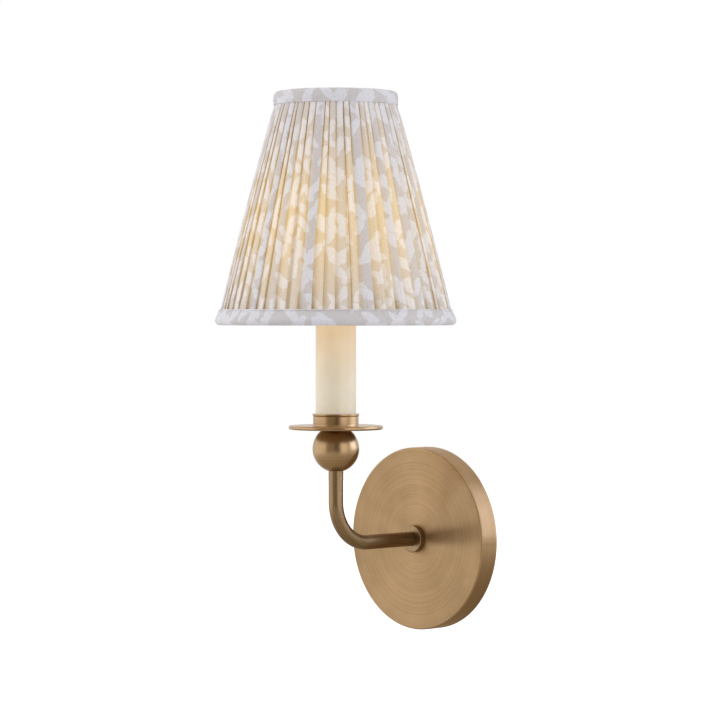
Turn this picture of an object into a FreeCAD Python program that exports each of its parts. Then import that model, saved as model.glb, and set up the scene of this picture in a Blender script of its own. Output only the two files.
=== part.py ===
import FreeCAD, Part
import math
import os
import re
import Sketcher
from FreeCAD import Placement, Rotation, Vector

# Fabric shade wall light: a round brass wall plate, a bent tube arm, a ball, a drip pan and a cup
# that hold a cream candle sleeve with its lampholder and bulb, and a pleated shade clipped on the bulb.
# Millimetres, +Z up. The origin is the centre of the wall plate's open back, which lies on the wall.
# The wall is the plane y = 0 and the light stands out from it along -Y.

doc = FreeCAD.newDocument("fabric_shade_wall_light")
sheet = doc.addObject("Spreadsheet::Sheet", "sizes")

# Driving sizes
SIZES = (
    # wall plate, a spun pan
    ("plate_diameter", "127"),
    ("plate_depth", "15"),
    ("plate_wall", "1.2"),
    ("plate_edge_round", "1.3"),
    # crossbar that screws to the junction box
    ("bar_thickness", "1.6"),
    ("bar_width", "26"),
    ("bar_window_diameter", "16"),
    ("slot_spacing", "79.4"),
    ("slot_length", "14.6"),
    ("slot_width", "5"),
    ("bar_tab_width", "14"),
    ("bar_tab_height", "10"),
    # grub screws through the rim
    ("grub_diameter", "4"),
    ("grub_length", "6"),
    ("grub_height", "6"),
    ("grub_sink", "0.3"),
    ("grub_key", "2"),
    ("thread_clearance", "0.05"),
    # earthing
    ("ground_screw_offset", "20"),
    ("ground_screw_diameter", "3.5"),
    ("ground_head_diameter", "6.6"),
    ("ground_head_height", "2.2"),
    ("lug_thickness", "0.6"),
    ("lug_diameter", "21"),
    # arm tube and what holds it to the plate
    ("arm_reach", "92"),
    ("arm_diameter", "10"),
    ("arm_wall", "1"),
    ("arm_bend_radius", "29"),
    ("arm_tail_depth", "9.2"),
    ("collar_diameter", "19"),
    ("collar_length", "4.6"),
    ("collar_round", "0.6"),
    ("lock_washer_diameter", "17"),
    ("lock_washer_thickness", "0.6"),
    ("nut_flats", "14"),
    ("nut_height", "3"),
    ("bushing_wall", "0.8"),
    ("bushing_length", "5"),
    ("bushing_flange", "0.8"),
    # ball, drip pan and cup
    ("ball_height", "65.1"),
    ("ball_diameter", "31.8"),
    ("ball_top_flat", "13.2"),
    ("ball_bottom_flat", "15"),
    ("ball_socket_depth", "10"),
    ("pan_diameter", "64.2"),
    ("pan_thickness", "2.6"),
    ("pan_round", "1.1"),
    ("cup_rim_diameter", "31.8"),
    ("cup_waist_diameter", "31"),
    ("cup_height", "8"),
    ("cup_floor", "1.6"),
    ("cup_lip_height", "0.9"),
    # hollow stem that clamps them
    ("stem_bore", "7"),
    ("stem_rise", "10"),
    # candle sleeve
    ("sleeve_diameter", "27.5"),
    ("sleeve_wall", "1"),
    ("sleeve_length", "98"),
    ("sleeve_play", "0.3"),
    # lampholder
    ("leg_thickness", "1"),
    ("leg_width", "8"),
    ("leg_offset", "9.9"),
    ("holder_diameter", "19.6"),
    ("holder_height", "34"),
    ("holder_recess", "2"),
    ("shell_wall", "0.4"),
    ("shell_depth", "15"),
    ("contact_diameter", "5"),
    ("contact_height", "1.2"),
    ("contact_clearance", "0.1"),
    ("contact_hole_margin", "1"),
    ("rivet_diameter", "3"),
    ("rivet_head", "4.4"),
    ("rivet_head_height", "0.6"),
    ("terminal_diameter", "3"),
    ("terminal_head", "5"),
    ("terminal_head_height", "1.5"),
    ("terminal_height", "6"),
    # bulb
    ("cap_diameter", "11.9"),
    ("cap_thread_length", "10"),
    ("cap_ridges", "4"),
    ("cap_ridge_height", "0.5"),
    ("cap_skirt_diameter", "17.8"),
    ("cap_skirt_height", "3"),
    ("cap_wall", "0.5"),
    ("cap_gap", "0.2"),
    ("insulator_height", "2.4"),
    ("tip_contact_diameter", "4"),
    ("tip_contact_height", "1.2"),
    ("glass_seat", "1"),
    ("glass_neck_diameter", "16.8"),
    ("glass_neck_height", "2"),
    ("glass_diameter", "32"),
    ("glass_widest_height", "30"),
    ("glass_height", "76"),
    ("glass_wall", "0.8"),
    ("glass_tip_diameter", "5"),
    ("flare_diameter", "9"),
    ("flare_height", "14"),
    ("filament_count", "4"),
    ("filament_diameter", "1.6"),
    ("filament_length", "30"),
    ("filament_circle", "11"),
    # clip that grips the bulb
    ("clip_wire", "1.8"),
    ("clip_gap", "0.35"),
    ("clip_width", "24"),
    ("clip_drop", "58"),
    ("clip_clear_tip", "6"),
    ("clip_bend", "4"),
    ("clip_shoulder", "9"),
    # shade frame
    ("shade_height", "158.4"),
    ("clip_below_top", "44.7"),
    ("ring_wire", "2.6"),
    ("rib_wire", "1.4"),
    ("rib_count", "6"),
    ("rib_bend", "12"),
    # shade cloth
    ("shade_top_diameter", "84.8"),
    ("shade_bottom_diameter", "163.8"),
    ("band_cloth", "0.6"),
    ("top_band_height", "9.3"),
    ("bottom_band_height", "10.8"),
    ("bottom_band_flare", "2.6"),
    ("band_turn_in", "3.4"),
    ("cloth_gap", "0.15"),
    ("pleat_count", "76"),
    ("pleat_cloth", "0.5"),
    ("pleat_depth", "1.1"),
    ("pleat_unevenness", "0.26"),
    ("pleat_tuck", "0.12"),
    ("pleats_inset_top", "0.8"),
    ("pleats_inset_bottom", "1.6"),
    ("pleats_belly", "0.95"),
    ("lining_cloth", "0.4"),
    # leads
    ("lead_diameter", "2.2"),
    ("lead_spread", "1.4"),
    ("lead_turn", "4"),
    ("connector_diameter", "9"),
    ("connector_length", "18"),
    ("connector_offset", "26"),
    ("earth_lead_diameter", "1.8"),
)
for row, (alias, number) in enumerate(SIZES, 1):
    sheet.set(f"A{row}", alias)
    sheet.set(f"B{row}", number)
    sheet.setAlias(f"B{row}", alias)
doc.recompute()

WORDS = re.compile(r"\b(" + "|".join(alias for alias, _ in SIZES) + r")\b")


def linked(formula):
    """The formula with each size's name led by the sheet that holds it."""
    return WORDS.sub(r"sizes.\1", formula)


def value(formula):
    """The number that a formula in the sizes' names gives now."""
    return float(sheet.evalExpression(linked(formula)))


def bind(thing, path, formula):
    """Tie one property of a feature to the sizes."""
    thing.setExpression(path, linked(formula))


# Derived places, as formulas in the sizes' names. Heights are above the arm's axis, depths from the wall.
PLATE_RADIUS = "plate_diameter / 2"
PLATE_INNER = f"({PLATE_RADIUS} - plate_wall)"
PLATE_FLOOR = "(plate_depth - plate_wall)"
BAR_REACH = f"({PLATE_RADIUS} - grub_sink - grub_length)"
THREAD_HOLE = "(arm_diameter / 2 + thread_clearance)"
LOCK_WASHER_DEPTH = f"({PLATE_FLOOR} - lock_washer_thickness)"
LUG_DEPTH = f"({LOCK_WASHER_DEPTH} - lug_thickness)"
ARM_NUT_DEPTH = f"({LUG_DEPTH} - nut_height)"
BALL_RADIUS = "ball_diameter / 2"
PAN_BASE = "(ball_height + ball_top_flat)"
CUP_BASE = f"({PAN_BASE} + pan_thickness)"
CUP_FLOOR = f"({CUP_BASE} + cup_floor)"
ARM_TOP = "(ball_height - ball_bottom_flat + ball_socket_depth)"
FOOT_TOP = f"({CUP_FLOOR} + leg_thickness)"
CUP_NUT_BASE = f"({FOOT_TOP} + lock_washer_thickness)"
STEM_TOP = f"({CUP_FLOOR} + stem_rise)"
SLEEVE_TOP = f"({CUP_FLOOR} + sleeve_length)"
SLEEVE_BORE = "(sleeve_diameter / 2 - sleeve_wall)"
HOLDER_TOP = f"({SLEEVE_TOP} - holder_recess)"
HOLDER_BASE = f"({HOLDER_TOP} - holder_height)"
SHELL_BORE = "(cap_diameter / 2 + cap_gap)"
SHELL_OUTER = f"({SHELL_BORE} + shell_wall)"
SHELL_BASE = f"({HOLDER_TOP} - shell_depth)"
CONTACT_TOP = f"({SHELL_BASE} + shell_wall + contact_height)"
TIP_BASE = f"({CONTACT_TOP} + contact_clearance)"
INSULATOR_BASE = f"({TIP_BASE} + tip_contact_height)"
CAP_BASE = f"({INSULATOR_BASE} + insulator_height)"
SKIRT_BASE = f"({CAP_BASE} + cap_thread_length)"
GLASS_BASE = f"({SKIRT_BASE} + cap_skirt_height - glass_seat)"
GLASS_WIDEST = f"({GLASS_BASE} + glass_widest_height)"
GLASS_TIP = f"({GLASS_BASE} + glass_height)"
CLIP_BAR = f"({GLASS_TIP} + clip_clear_tip)"
SHADE_TOP = f"({CLIP_BAR} + clip_below_top)"
SHADE_BASE = f"({SHADE_TOP} - shade_height)"
CLIP_SIDE = "(glass_diameter / 2 + clip_gap + clip_wire / 2)"
RING_INSET = "(band_cloth + cloth_gap + ring_wire / 2)"
TOP_RING_RADIUS = f"(shade_top_diameter / 2 - {RING_INSET})"
TOP_RING_HEIGHT = f"({SHADE_TOP} - {RING_INSET})"
BOTTOM_RING_RADIUS = f"(shade_bottom_diameter / 2 - {RING_INSET})"
BOTTOM_RING_HEIGHT = f"({SHADE_BASE} + {RING_INSET})"
RIB_TOP_RADIUS = f"({TOP_RING_RADIUS} - ring_wire / 2 - rib_wire / 2)"
RIB_BOTTOM_RADIUS = f"({BOTTOM_RING_RADIUS} - ring_wire / 2 - rib_wire / 2)"
RIB_BEND_HEIGHT = f"({SHADE_TOP} - top_band_height)"
RIB_FOOT = f"({BOTTOM_RING_HEIGHT} - ring_wire / 2 + cloth_gap)"
RIB_SLOPE = f"(({RIB_BOTTOM_RADIUS} - {RIB_TOP_RADIUS}) / ({RIB_BEND_HEIGHT} - {RIB_FOOT}))"
LINING_TOP = f"({TOP_RING_HEIGHT} - ring_wire / 2)"
LINING_BASE = f"({BOTTOM_RING_HEIGHT} + ring_wire / 2)"
LINING_INSET = "(rib_wire / 2 + cloth_gap)"
LINING_TOP_RADIUS = f"({RIB_TOP_RADIUS} - {LINING_INSET})"
LINING_BASE_RADIUS = f"({RIB_BOTTOM_RADIUS} - {LINING_INSET} - ({LINING_BASE} - {RIB_FOOT}) * {RIB_SLOPE})"
PLEATS_TOP = f"({TOP_RING_HEIGHT} - ring_wire / 2 - cloth_gap)"
PLEATS_BASE = f"({BOTTOM_RING_HEIGHT} + ring_wire / 2 + cloth_gap)"
TOP_BAND_EDGE = f"({SHADE_TOP} - top_band_height)"
BOTTOM_BAND_EDGE = f"({SHADE_BASE} + bottom_band_height)"

OUT_OF_WALL = Rotation(Vector(1, 0, 0), 90)
UPRIGHT = Rotation()
nodes = []


def part(kind, name):
    """A sub-part of the light under its own name."""
    thing = doc.addObject(kind, name)
    thing.Label = name
    nodes.append(thing)
    return thing


def on_plate_axis(thing):
    """Local +Z points out of the wall along the plate's axis, and local +Y points up."""
    thing.Placement = Placement(Vector(), OUT_OF_WALL)
    return thing


def on_candle_axis(thing):
    """Local +Z is the candle's axis, at the arm's reach from the wall."""
    thing.Placement = Placement(Vector(0, -value("arm_reach"), 0), UPRIGHT)
    bind(thing, "Placement.Base.y", "-arm_reach")
    return thing


def origin_plane(body, role):
    for feature in body.Origin.OriginFeatures:
        if feature.Role == role:
            return feature
    raise ValueError(role)


def sketch_on(body, role, name, offset="0"):
    """A sketch on one of the body's own origin planes, moved off it by a formula."""
    sketch = body.newObject("Sketcher::SketchObject", name)
    sketch.AttachmentSupport = [(origin_plane(body, role), "")]
    sketch.MapMode = "FlatFace"
    if offset != "0":
        bind(sketch, "AttachmentOffset.Base.z", offset)
    return sketch


def fix(sketch, kind, geometry, point, formula, name):
    """Hold one coordinate of a point at a formula, or on the axis where the formula is 0."""
    if formula == "0":
        axis = -2 if kind == "DistanceX" else -1
        sketch.addConstraint(Sketcher.Constraint("PointOnObject", geometry, point, axis))
        return
    constraint = Sketcher.Constraint(kind, -1, 1, geometry, point, value(formula))
    index = sketch.addConstraint(constraint)
    sketch.renameConstraint(index, name)
    bind(sketch, f"Constraints.{name}", formula)


def outline(sketch, corners, tag=""):
    """A closed outline through corners, each (x, y) or (x, y, "x" or "y", centre).

    An edge is straight, or an arc where its first corner gives one coordinate of the arc's centre.
    """
    spots = [Vector(value(corner[0]), value(corner[1]), 0) for corner in corners]
    starts = []
    for index, corner in enumerate(corners):
        here = spots[index]
        there = spots[(index + 1) % len(spots)]
        if len(corner) == 2:
            geometry = sketch.addGeometry(Part.LineSegment(here, there))
            starts.append((geometry, 1, 2))
            continue
        middle = (here + there) / 2
        along = there - here
        across = Vector(-along.y, along.x, 0)
        known = value(corner[3])
        if corner[2] == "x":
            step = (known - middle.x) / across.x
        else:
            step = (known - middle.y) / across.y
        centre = middle + across * step
        first = math.atan2(here.y - centre.y, here.x - centre.x)
        last = math.atan2(there.y - centre.y, there.x - centre.x)
        anticlockwise = (last - first) % (2 * math.pi) < math.pi
        if not anticlockwise:
            first, last = last, first
        circle = Part.Circle(centre, Vector(0, 0, 1), (here - centre).Length)
        geometry = sketch.addGeometry(Part.ArcOfCircle(circle, first, last))
        starts.append((geometry, 1, 2) if anticlockwise else (geometry, 2, 1))
        kind = "DistanceX" if corner[2] == "x" else "DistanceY"
        fix(sketch, kind, geometry, 3, corner[3], f"{tag}centre{index}")
    for index, (geometry, start, end) in enumerate(starts):
        following = starts[(index + 1) % len(starts)]
        sketch.addConstraint(Sketcher.Constraint("Coincident", geometry, end, following[0], following[1]))
        fix(sketch, "DistanceX", geometry, start, corners[index][0], f"{tag}x{index}")
        fix(sketch, "DistanceY", geometry, start, corners[index][1], f"{tag}y{index}")


def circle(sketch, radius, x="0", y="0", tag="circle"):
    """A circle of the given radius about a fixed point."""
    centre = Vector(value(x), value(y), 0)
    geometry = sketch.addGeometry(Part.Circle(centre, Vector(0, 0, 1), value(radius)))
    fix(sketch, "DistanceX", geometry, 3, x, f"{tag}_x")
    fix(sketch, "DistanceY", geometry, 3, y, f"{tag}_y")
    index = sketch.addConstraint(Sketcher.Constraint("Radius", geometry, value(radius)))
    sketch.renameConstraint(index, f"{tag}_radius")
    bind(sketch, f"Constraints.{tag}_radius", radius)
    return geometry


def slot(sketch, half_spacing, length, width, up, tag):
    """An upright slot with round ends, centred half_spacing above or below the axis."""
    sign = "" if up else "-"
    half_run = f"(({length}) - ({width})) / 2"
    low = f"{sign}({half_spacing}) - {half_run}"
    high = f"{sign}({half_spacing}) + {half_run}"
    radius = value(f"({width}) / 2")
    ends = []
    for name, height, first in (("low", low, math.pi), ("high", high, 0.0)):
        centre = Vector(0, value(height), 0)
        arc = Part.ArcOfCircle(Part.Circle(centre, Vector(0, 0, 1), radius), first, first + math.pi)
        geometry = sketch.addGeometry(arc)
        fix(sketch, "DistanceX", geometry, 3, "0", f"{tag}{name}_x")
        fix(sketch, "DistanceY", geometry, 3, height, f"{tag}{name}_y")
        ends.append(geometry)
    index = sketch.addConstraint(Sketcher.Constraint("Radius", ends[0], radius))
    sketch.renameConstraint(index, f"{tag}radius")
    bind(sketch, f"Constraints.{tag}radius", f"({width}) / 2")
    for side, low_point, high_point in ((1, 2, 1), (-1, 1, 2)):
        start = Vector(side * radius, value(low), 0)
        end = Vector(side * radius, value(high), 0)
        line = sketch.addGeometry(Part.LineSegment(start, end))
        sketch.addConstraint(Sketcher.Constraint("Tangent", line, 1, ends[0], low_point))
        sketch.addConstraint(Sketcher.Constraint("Tangent", line, 2, ends[1], high_point))


def turn(body, sketch, name="turned"):
    """Revolve a sketch about its upright axis."""
    feature = body.newObject("PartDesign::Revolution", name)
    feature.Profile = sketch
    feature.ReferenceAxis = (sketch, ["V_Axis"])
    feature.Angle = 360
    sketch.Visibility = False
    return feature


def turned(name, corners, kind="part"):
    """A lathe-turned body: the outline gives (radius, height) pairs about local Z."""
    body = part("PartDesign::Body", name) if kind == "part" else doc.addObject("PartDesign::Body", name)
    sketch = sketch_on(body, "XZ_Plane", f"{name}_outline")
    outline(sketch, corners)
    body.Tip = turn(body, sketch, f"{name}_turned")
    return body


def tube_outline(inner, outer, base, top):
    """The four corners of a plain ring's section."""
    return [(outer, base), (outer, top), (inner, top), (inner, base)]


def round_rims(body, name, rims, radius):
    """Round the turned edges that lie at the given (radius, height) places."""
    doc.recompute()
    base = body.Tip
    found = []
    for index, edge in enumerate(base.Shape.Edges, 1):
        if not isinstance(edge.Curve, Part.Circle):
            continue
        for reach, height in rims:
            same_size = abs(edge.Curve.Radius - value(reach)) < 0.01
            if same_size and abs(edge.Curve.Center.z - value(height)) < 0.01:
                found.append(f"Edge{index}")
    if len(found) < len(rims):
        raise ValueError(f"{name}: {len(found)} edges found for {len(rims)} rims")
    feature = body.newObject("PartDesign::Fillet", name)
    feature.Base = (base, found)
    bind(feature, "Radius", radius)
    body.Tip = feature


def pad(body, sketch, length, name):
    feature = body.newObject("PartDesign::Pad", name)
    feature.Profile = sketch
    bind(feature, "Length", length)
    sketch.Visibility = False
    body.Tip = feature
    return feature


def pocket_through(body, sketch, name):
    """Cut a sketch right through the body, both ways."""
    feature = body.newObject("PartDesign::Pocket", name)
    feature.Profile = sketch
    feature.Type = "ThroughAll"
    feature.Midplane = True
    sketch.Visibility = False
    body.Tip = feature
    return feature


def hexagon(sketch, flats):
    """A regular hexagon about the axis, from its width across flats."""
    corner = f"({flats}) / sqrt(3)"
    side = f"({flats}) / 2"
    half = f"({flats}) / sqrt(12)"
    outline(sketch, [
        (side, f"-{half}"), (side, half), ("0", corner),
        (f"-{side}", half), (f"-{side}", f"-{half}"), ("0", f"-{corner}"),
    ])


def nut(name, base):
    """A thin hexagon nut on the stem thread, its lower face at base along local Z."""
    body = part("PartDesign::Body", name)
    flats = sketch_on(body, "XY_Plane", f"{name}_flats", base)
    hexagon(flats, "nut_flats")
    pad(body, flats, "nut_height", f"{name}_blank")
    hole = sketch_on(body, "XY_Plane", f"{name}_hole")
    circle(hole, THREAD_HOLE)
    pocket_through(body, hole, f"{name}_bore")
    return body


def washer(name, base):
    corners = tube_outline(THREAD_HOLE, "lock_washer_diameter / 2", base, f"{base} + lock_washer_thickness")
    return turned(name, corners)


def group(name, pieces):
    """Like pieces under one name, each still a solid of its own."""
    compound = part("Part::Compound", name)
    compound.Links = pieces
    return compound


def shaped(name, shape, centre=None):
    """A sub-part whose shape is worked out from the sizes."""
    feature = part("Part::Feature", name)
    feature.Shape = shape
    if centre is not None:
        feature.Placement = Placement(centre, UPRIGHT)
    return feature


def candle_axis():
    return Vector(0, -value("arm_reach"), 0)


# Wall plate: spun brass pan with a rounded front edge, a hole for the arm and two grub screw holes
plate = turned("back_plate", [
    (PLATE_RADIUS, "0"),
    (PLATE_RADIUS, "plate_depth"),
    (THREAD_HOLE, "plate_depth"),
    (THREAD_HOLE, PLATE_FLOOR),
    (PLATE_INNER, PLATE_FLOOR),
    (PLATE_INNER, "0"),
])
round_rims(plate, "plate_front_round", [(PLATE_RADIUS, "plate_depth")], "plate_edge_round")
grub_holes = sketch_on(plate, "XZ_Plane", "grub_holes")
circle(grub_holes, "grub_diameter / 2 + thread_clearance", "0", "grub_height")
pocket_through(plate, grub_holes, "grub_holes_cut")
on_plate_axis(plate)

# Crossbar: pressed steel strip with a wire window, two slots and an up-turned tab at each end
bar = part("PartDesign::Body", "mounting_bar")
strip = sketch_on(bar, "XY_Plane", "strip")
outline(strip, [
    ("bar_width / 2", f"-{BAR_REACH}"), ("bar_width / 2", BAR_REACH),
    ("-bar_width / 2", BAR_REACH), ("-bar_width / 2", f"-{BAR_REACH}"),
])
pad(bar, strip, "bar_thickness", "strip_pressed")
for side, low, high in (
    ("upper", f"{BAR_REACH} - bar_thickness", BAR_REACH),
    ("lower", f"-{BAR_REACH}", f"bar_thickness - {BAR_REACH}"),
):
    tab = sketch_on(bar, "XY_Plane", f"{side}_tab")
    outline(tab, [
        ("bar_tab_width / 2", low), ("bar_tab_width / 2", high),
        ("-bar_tab_width / 2", high), ("-bar_tab_width / 2", low),
    ])
    pad(bar, tab, "bar_tab_height", f"{side}_tab_turned_up")
window = sketch_on(bar, "XY_Plane", "wire_window")
circle(window, "bar_window_diameter / 2")
pocket_through(bar, window, "wire_window_cut")
slots = sketch_on(bar, "XY_Plane", "box_slots")
slot(slots, "slot_spacing / 2", "slot_length", "slot_width", True, "upper_")
slot(slots, "slot_spacing / 2", "slot_length", "slot_width", False, "lower_")
pocket_through(bar, slots, "box_slots_cut")
earth_hole = sketch_on(bar, "XY_Plane", "ground_screw_hole")
circle(earth_hole, "ground_screw_diameter / 2 + thread_clearance", "0", "-ground_screw_offset")
pocket_through(bar, earth_hole, "ground_screw_hole_cut")
on_plate_axis(bar)

# Grub screws: they pass the rim and press on the crossbar's tabs
grub = turned("grub", [
    ("grub_diameter / 2", BAR_REACH),
    ("grub_diameter / 2", f"{BAR_REACH} + grub_length"),
    ("0", f"{BAR_REACH} + grub_length"),
    ("0", BAR_REACH),
], "tool")
key = sketch_on(grub, "XY_Plane", "grub_key_socket", f"{BAR_REACH} + grub_length / 2")
hexagon(key, "grub_key")
key_cut = grub.newObject("PartDesign::Pocket", "grub_key_cut")
key_cut.Profile = key
key_cut.Reversed = True
bind(key_cut, "Length", "grub_length")
grub.Tip = key_cut
bind(grub, "Placement.Base.y", "-grub_height")
lower_grub = doc.addObject("Part::Mirroring", "lower_grub")
lower_grub.Source = grub
lower_grub.Normal = (0, 0, 1)
group("plate_grub_screws", [grub, lower_grub])

# Ground screw in the crossbar, with its earth lead's lug under the arm nut
ground_screw = turned("ground_screw", [
    ("ground_screw_diameter / 2", "0"),
    ("ground_screw_diameter / 2", "bar_thickness"),
    ("ground_head_diameter / 2", "bar_thickness"),
    ("ground_head_diameter / 2", "bar_thickness + ground_head_height"),
    ("0", "bar_thickness + ground_head_height"),
    ("0", "0"),
])
round_rims(
    ground_screw, "ground_head_round",
    [("ground_head_diameter / 2", "bar_thickness + ground_head_height")], "ground_head_height / 3",
)
ground_screw.Placement = Placement(Vector(0, 0, -value("ground_screw_offset")), OUT_OF_WALL)
bind(ground_screw, "Placement.Base.z", "-ground_screw_offset")
lug = turned("ground_lug", tube_outline(
    THREAD_HOLE, "lug_diameter / 2", LUG_DEPTH, f"{LUG_DEPTH} + lug_thickness",
))
on_plate_axis(lug)

# Arm fixings on the plate: collar outside, washer, lug and nut inside, and a wire bushing in the tube's end
collar = turned("arm_collar", tube_outline(
    THREAD_HOLE, "collar_diameter / 2", "plate_depth", "plate_depth + collar_length",
))
COLLAR_FRONT = "(plate_depth + collar_length)"
round_rims(collar, "collar_front_round", [("collar_diameter / 2", COLLAR_FRONT)], "collar_round")
on_plate_axis(collar)
on_plate_axis(washer("arm_lock_washer", LOCK_WASHER_DEPTH))
on_plate_axis(nut("arm_lock_nut", ARM_NUT_DEPTH))
BUSHING_OUTER = "(arm_diameter / 2 - arm_wall - thread_clearance)"
BUSHING_BORE = f"({BUSHING_OUTER} - bushing_wall)"
on_plate_axis(turned("arm_bushing", [
    (BUSHING_OUTER, "arm_tail_depth + bushing_length"),
    (BUSHING_BORE, "arm_tail_depth + bushing_length"),
    (BUSHING_BORE, "arm_tail_depth - bushing_flange"),
    ("arm_diameter / 2", "arm_tail_depth - bushing_flange"),
    ("arm_diameter / 2", "arm_tail_depth"),
    (BUSHING_OUTER, "arm_tail_depth"),
]))

# Arm: brass tube, straight out of the plate, then bent a quarter turn up into the ball
arm = part("PartDesign::Body", "arm_tube")
route = sketch_on(arm, "YZ_Plane", "arm_route")
tail = Vector(-value("arm_tail_depth"), 0, 0)
bend_start = Vector(value("arm_bend_radius - arm_reach"), 0, 0)
bend_end = Vector(-value("arm_reach"), value("arm_bend_radius"), 0)
bend_centre = Vector(bend_start.x, bend_end.y, 0)
top = Vector(bend_end.x, value(ARM_TOP), 0)
run_out = route.addGeometry(Part.LineSegment(tail, bend_start))
bend_circle = Part.Circle(bend_centre, Vector(0, 0, 1), value("arm_bend_radius"))
bend = route.addGeometry(Part.ArcOfCircle(bend_circle, math.pi, 1.5 * math.pi))
run_up = route.addGeometry(Part.LineSegment(bend_end, top))
route.addConstraint(Sketcher.Constraint("Tangent", run_out, 2, bend, 2))
route.addConstraint(Sketcher.Constraint("Tangent", bend, 1, run_up, 1))
fix(route, "DistanceX", run_out, 1, "-arm_tail_depth", "tail_x")
fix(route, "DistanceY", run_out, 1, "0", "tail_y")
route.addConstraint(Sketcher.Constraint("Horizontal", run_out))
route.addConstraint(Sketcher.Constraint("Vertical", run_up))
fix(route, "DistanceX", run_up, 2, "-arm_reach", "top_x")
fix(route, "DistanceY", run_up, 2, ARM_TOP, "top_y")
bend_size = route.addConstraint(Sketcher.Constraint("Radius", bend, value("arm_bend_radius")))
route.renameConstraint(bend_size, "bend_radius")
bind(route, "Constraints.bend_radius", "arm_bend_radius")
section = sketch_on(arm, "XZ_Plane", "arm_section", "arm_tail_depth")
circle(section, "arm_diameter / 2", tag="outer")
circle(section, "arm_diameter / 2 - arm_wall", tag="inner")
doc.recompute()
pipe = arm.newObject("PartDesign::AdditivePipe", "arm_bent")
pipe.Profile = section
pipe.Spine = (route, ["Edge1", "Edge2", "Edge3"])
arm.Tip = pipe
route.Visibility = False
section.Visibility = False

# Ball: turned solid brass, bored for the arm below and the stem above, flat where the pan sits
BALL_BORE = THREAD_HOLE
on_candle_axis(turned("stem_ball", [
    (BALL_BORE, "ball_height - ball_bottom_flat"),
    (f"sqrt(({BALL_RADIUS})^2 - ball_bottom_flat^2)", "ball_height - ball_bottom_flat", "x", "0"),
    (BALL_RADIUS, "ball_height", "x", "0"),
    (f"sqrt(({BALL_RADIUS})^2 - ball_top_flat^2)", PAN_BASE),
    (BALL_BORE, PAN_BASE),
]))

# Drip pan: flat brass disc with a rounded rim
pan = turned("drip_pan", tube_outline(THREAD_HOLE, "pan_diameter / 2", PAN_BASE, CUP_BASE))
PAN_RADIUS = "pan_diameter / 2"
round_rims(pan, "pan_rim_round", [(PAN_RADIUS, PAN_BASE), (PAN_RADIUS, CUP_BASE)], "pan_round")
on_candle_axis(pan)

# Candle cup: low turned cup with a slightly wider lip
CUP_BORE = "(sleeve_diameter / 2 + sleeve_play)"
CUP_TOP = f"({CUP_BASE} + cup_height)"
cup = turned("candle_cup", [
    (THREAD_HOLE, CUP_BASE),
    ("cup_rim_diameter / 2", CUP_BASE),
    ("cup_waist_diameter / 2", f"{CUP_BASE} + cup_lip_height"),
    ("cup_waist_diameter / 2", f"{CUP_TOP} - 2 * cup_lip_height"),
    ("cup_rim_diameter / 2", f"{CUP_TOP} - cup_lip_height"),
    ("cup_rim_diameter / 2", CUP_TOP),
    (CUP_BORE, CUP_TOP),
    (CUP_BORE, CUP_FLOOR),
    (THREAD_HOLE, CUP_FLOOR),
])
on_candle_axis(cup)

# Hollow threaded stem, and the washer and nut that clamp ball, pan, cup and lampholder leg on it
on_candle_axis(turned("stem_nipple", tube_outline("stem_bore / 2", "arm_diameter / 2", ARM_TOP, STEM_TOP)))
on_candle_axis(washer("cup_lock_washer", FOOT_TOP))
on_candle_axis(nut("cup_lock_nut", CUP_NUT_BASE))

# Candle sleeve: cream moulded tube, loose in the cup
SLEEVE_RADIUS = "sleeve_diameter / 2"
on_candle_axis(turned("candle_sleeve", tube_outline(SLEEVE_BORE, SLEEVE_RADIUS, CUP_FLOOR, SLEEVE_TOP)))

# Lampholder leg: bent steel strip, its foot under the cup nut
leg = part("PartDesign::Body", "lampholder_leg")
LEG_OUTSIDE = "(leg_offset + leg_thickness)"
foot = sketch_on(leg, "XY_Plane", "leg_foot", CUP_FLOOR)
outline(foot, [
    ("lock_washer_diameter / 2", "-leg_width / 2"), ("lock_washer_diameter / 2", "leg_width / 2"),
    (f"-{LEG_OUTSIDE}", "leg_width / 2"), (f"-{LEG_OUTSIDE}", "-leg_width / 2"),
])
pad(leg, foot, "leg_thickness", "leg_foot_strip")
eye = sketch_on(leg, "XY_Plane", "leg_eye", CUP_FLOOR)
circle(eye, "lock_washer_diameter / 2")
pad(leg, eye, "leg_thickness", "leg_eye_disc")
riser = sketch_on(leg, "XY_Plane", "leg_riser", CUP_FLOOR)
outline(riser, [
    ("-leg_offset", "-leg_width / 2"), ("-leg_offset", "leg_width / 2"),
    (f"-{LEG_OUTSIDE}", "leg_width / 2"), (f"-{LEG_OUTSIDE}", "-leg_width / 2"),
])
RIVET_HEIGHT = f"({HOLDER_BASE} + terminal_height)"
pad(leg, riser, f"{RIVET_HEIGHT} + rivet_head - {CUP_FLOOR}", "leg_upright")
eye_hole = sketch_on(leg, "XY_Plane", "leg_eye_hole")
circle(eye_hole, THREAD_HOLE)
pocket_through(leg, eye_hole, "leg_eye_bore")
rivet_hole = sketch_on(leg, "YZ_Plane", "leg_rivet_hole")
circle(rivet_hole, "rivet_diameter / 2 + thread_clearance", "0", RIVET_HEIGHT)
pocket_through(leg, rivet_hole, "leg_rivet_bore")
on_candle_axis(leg)

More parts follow.
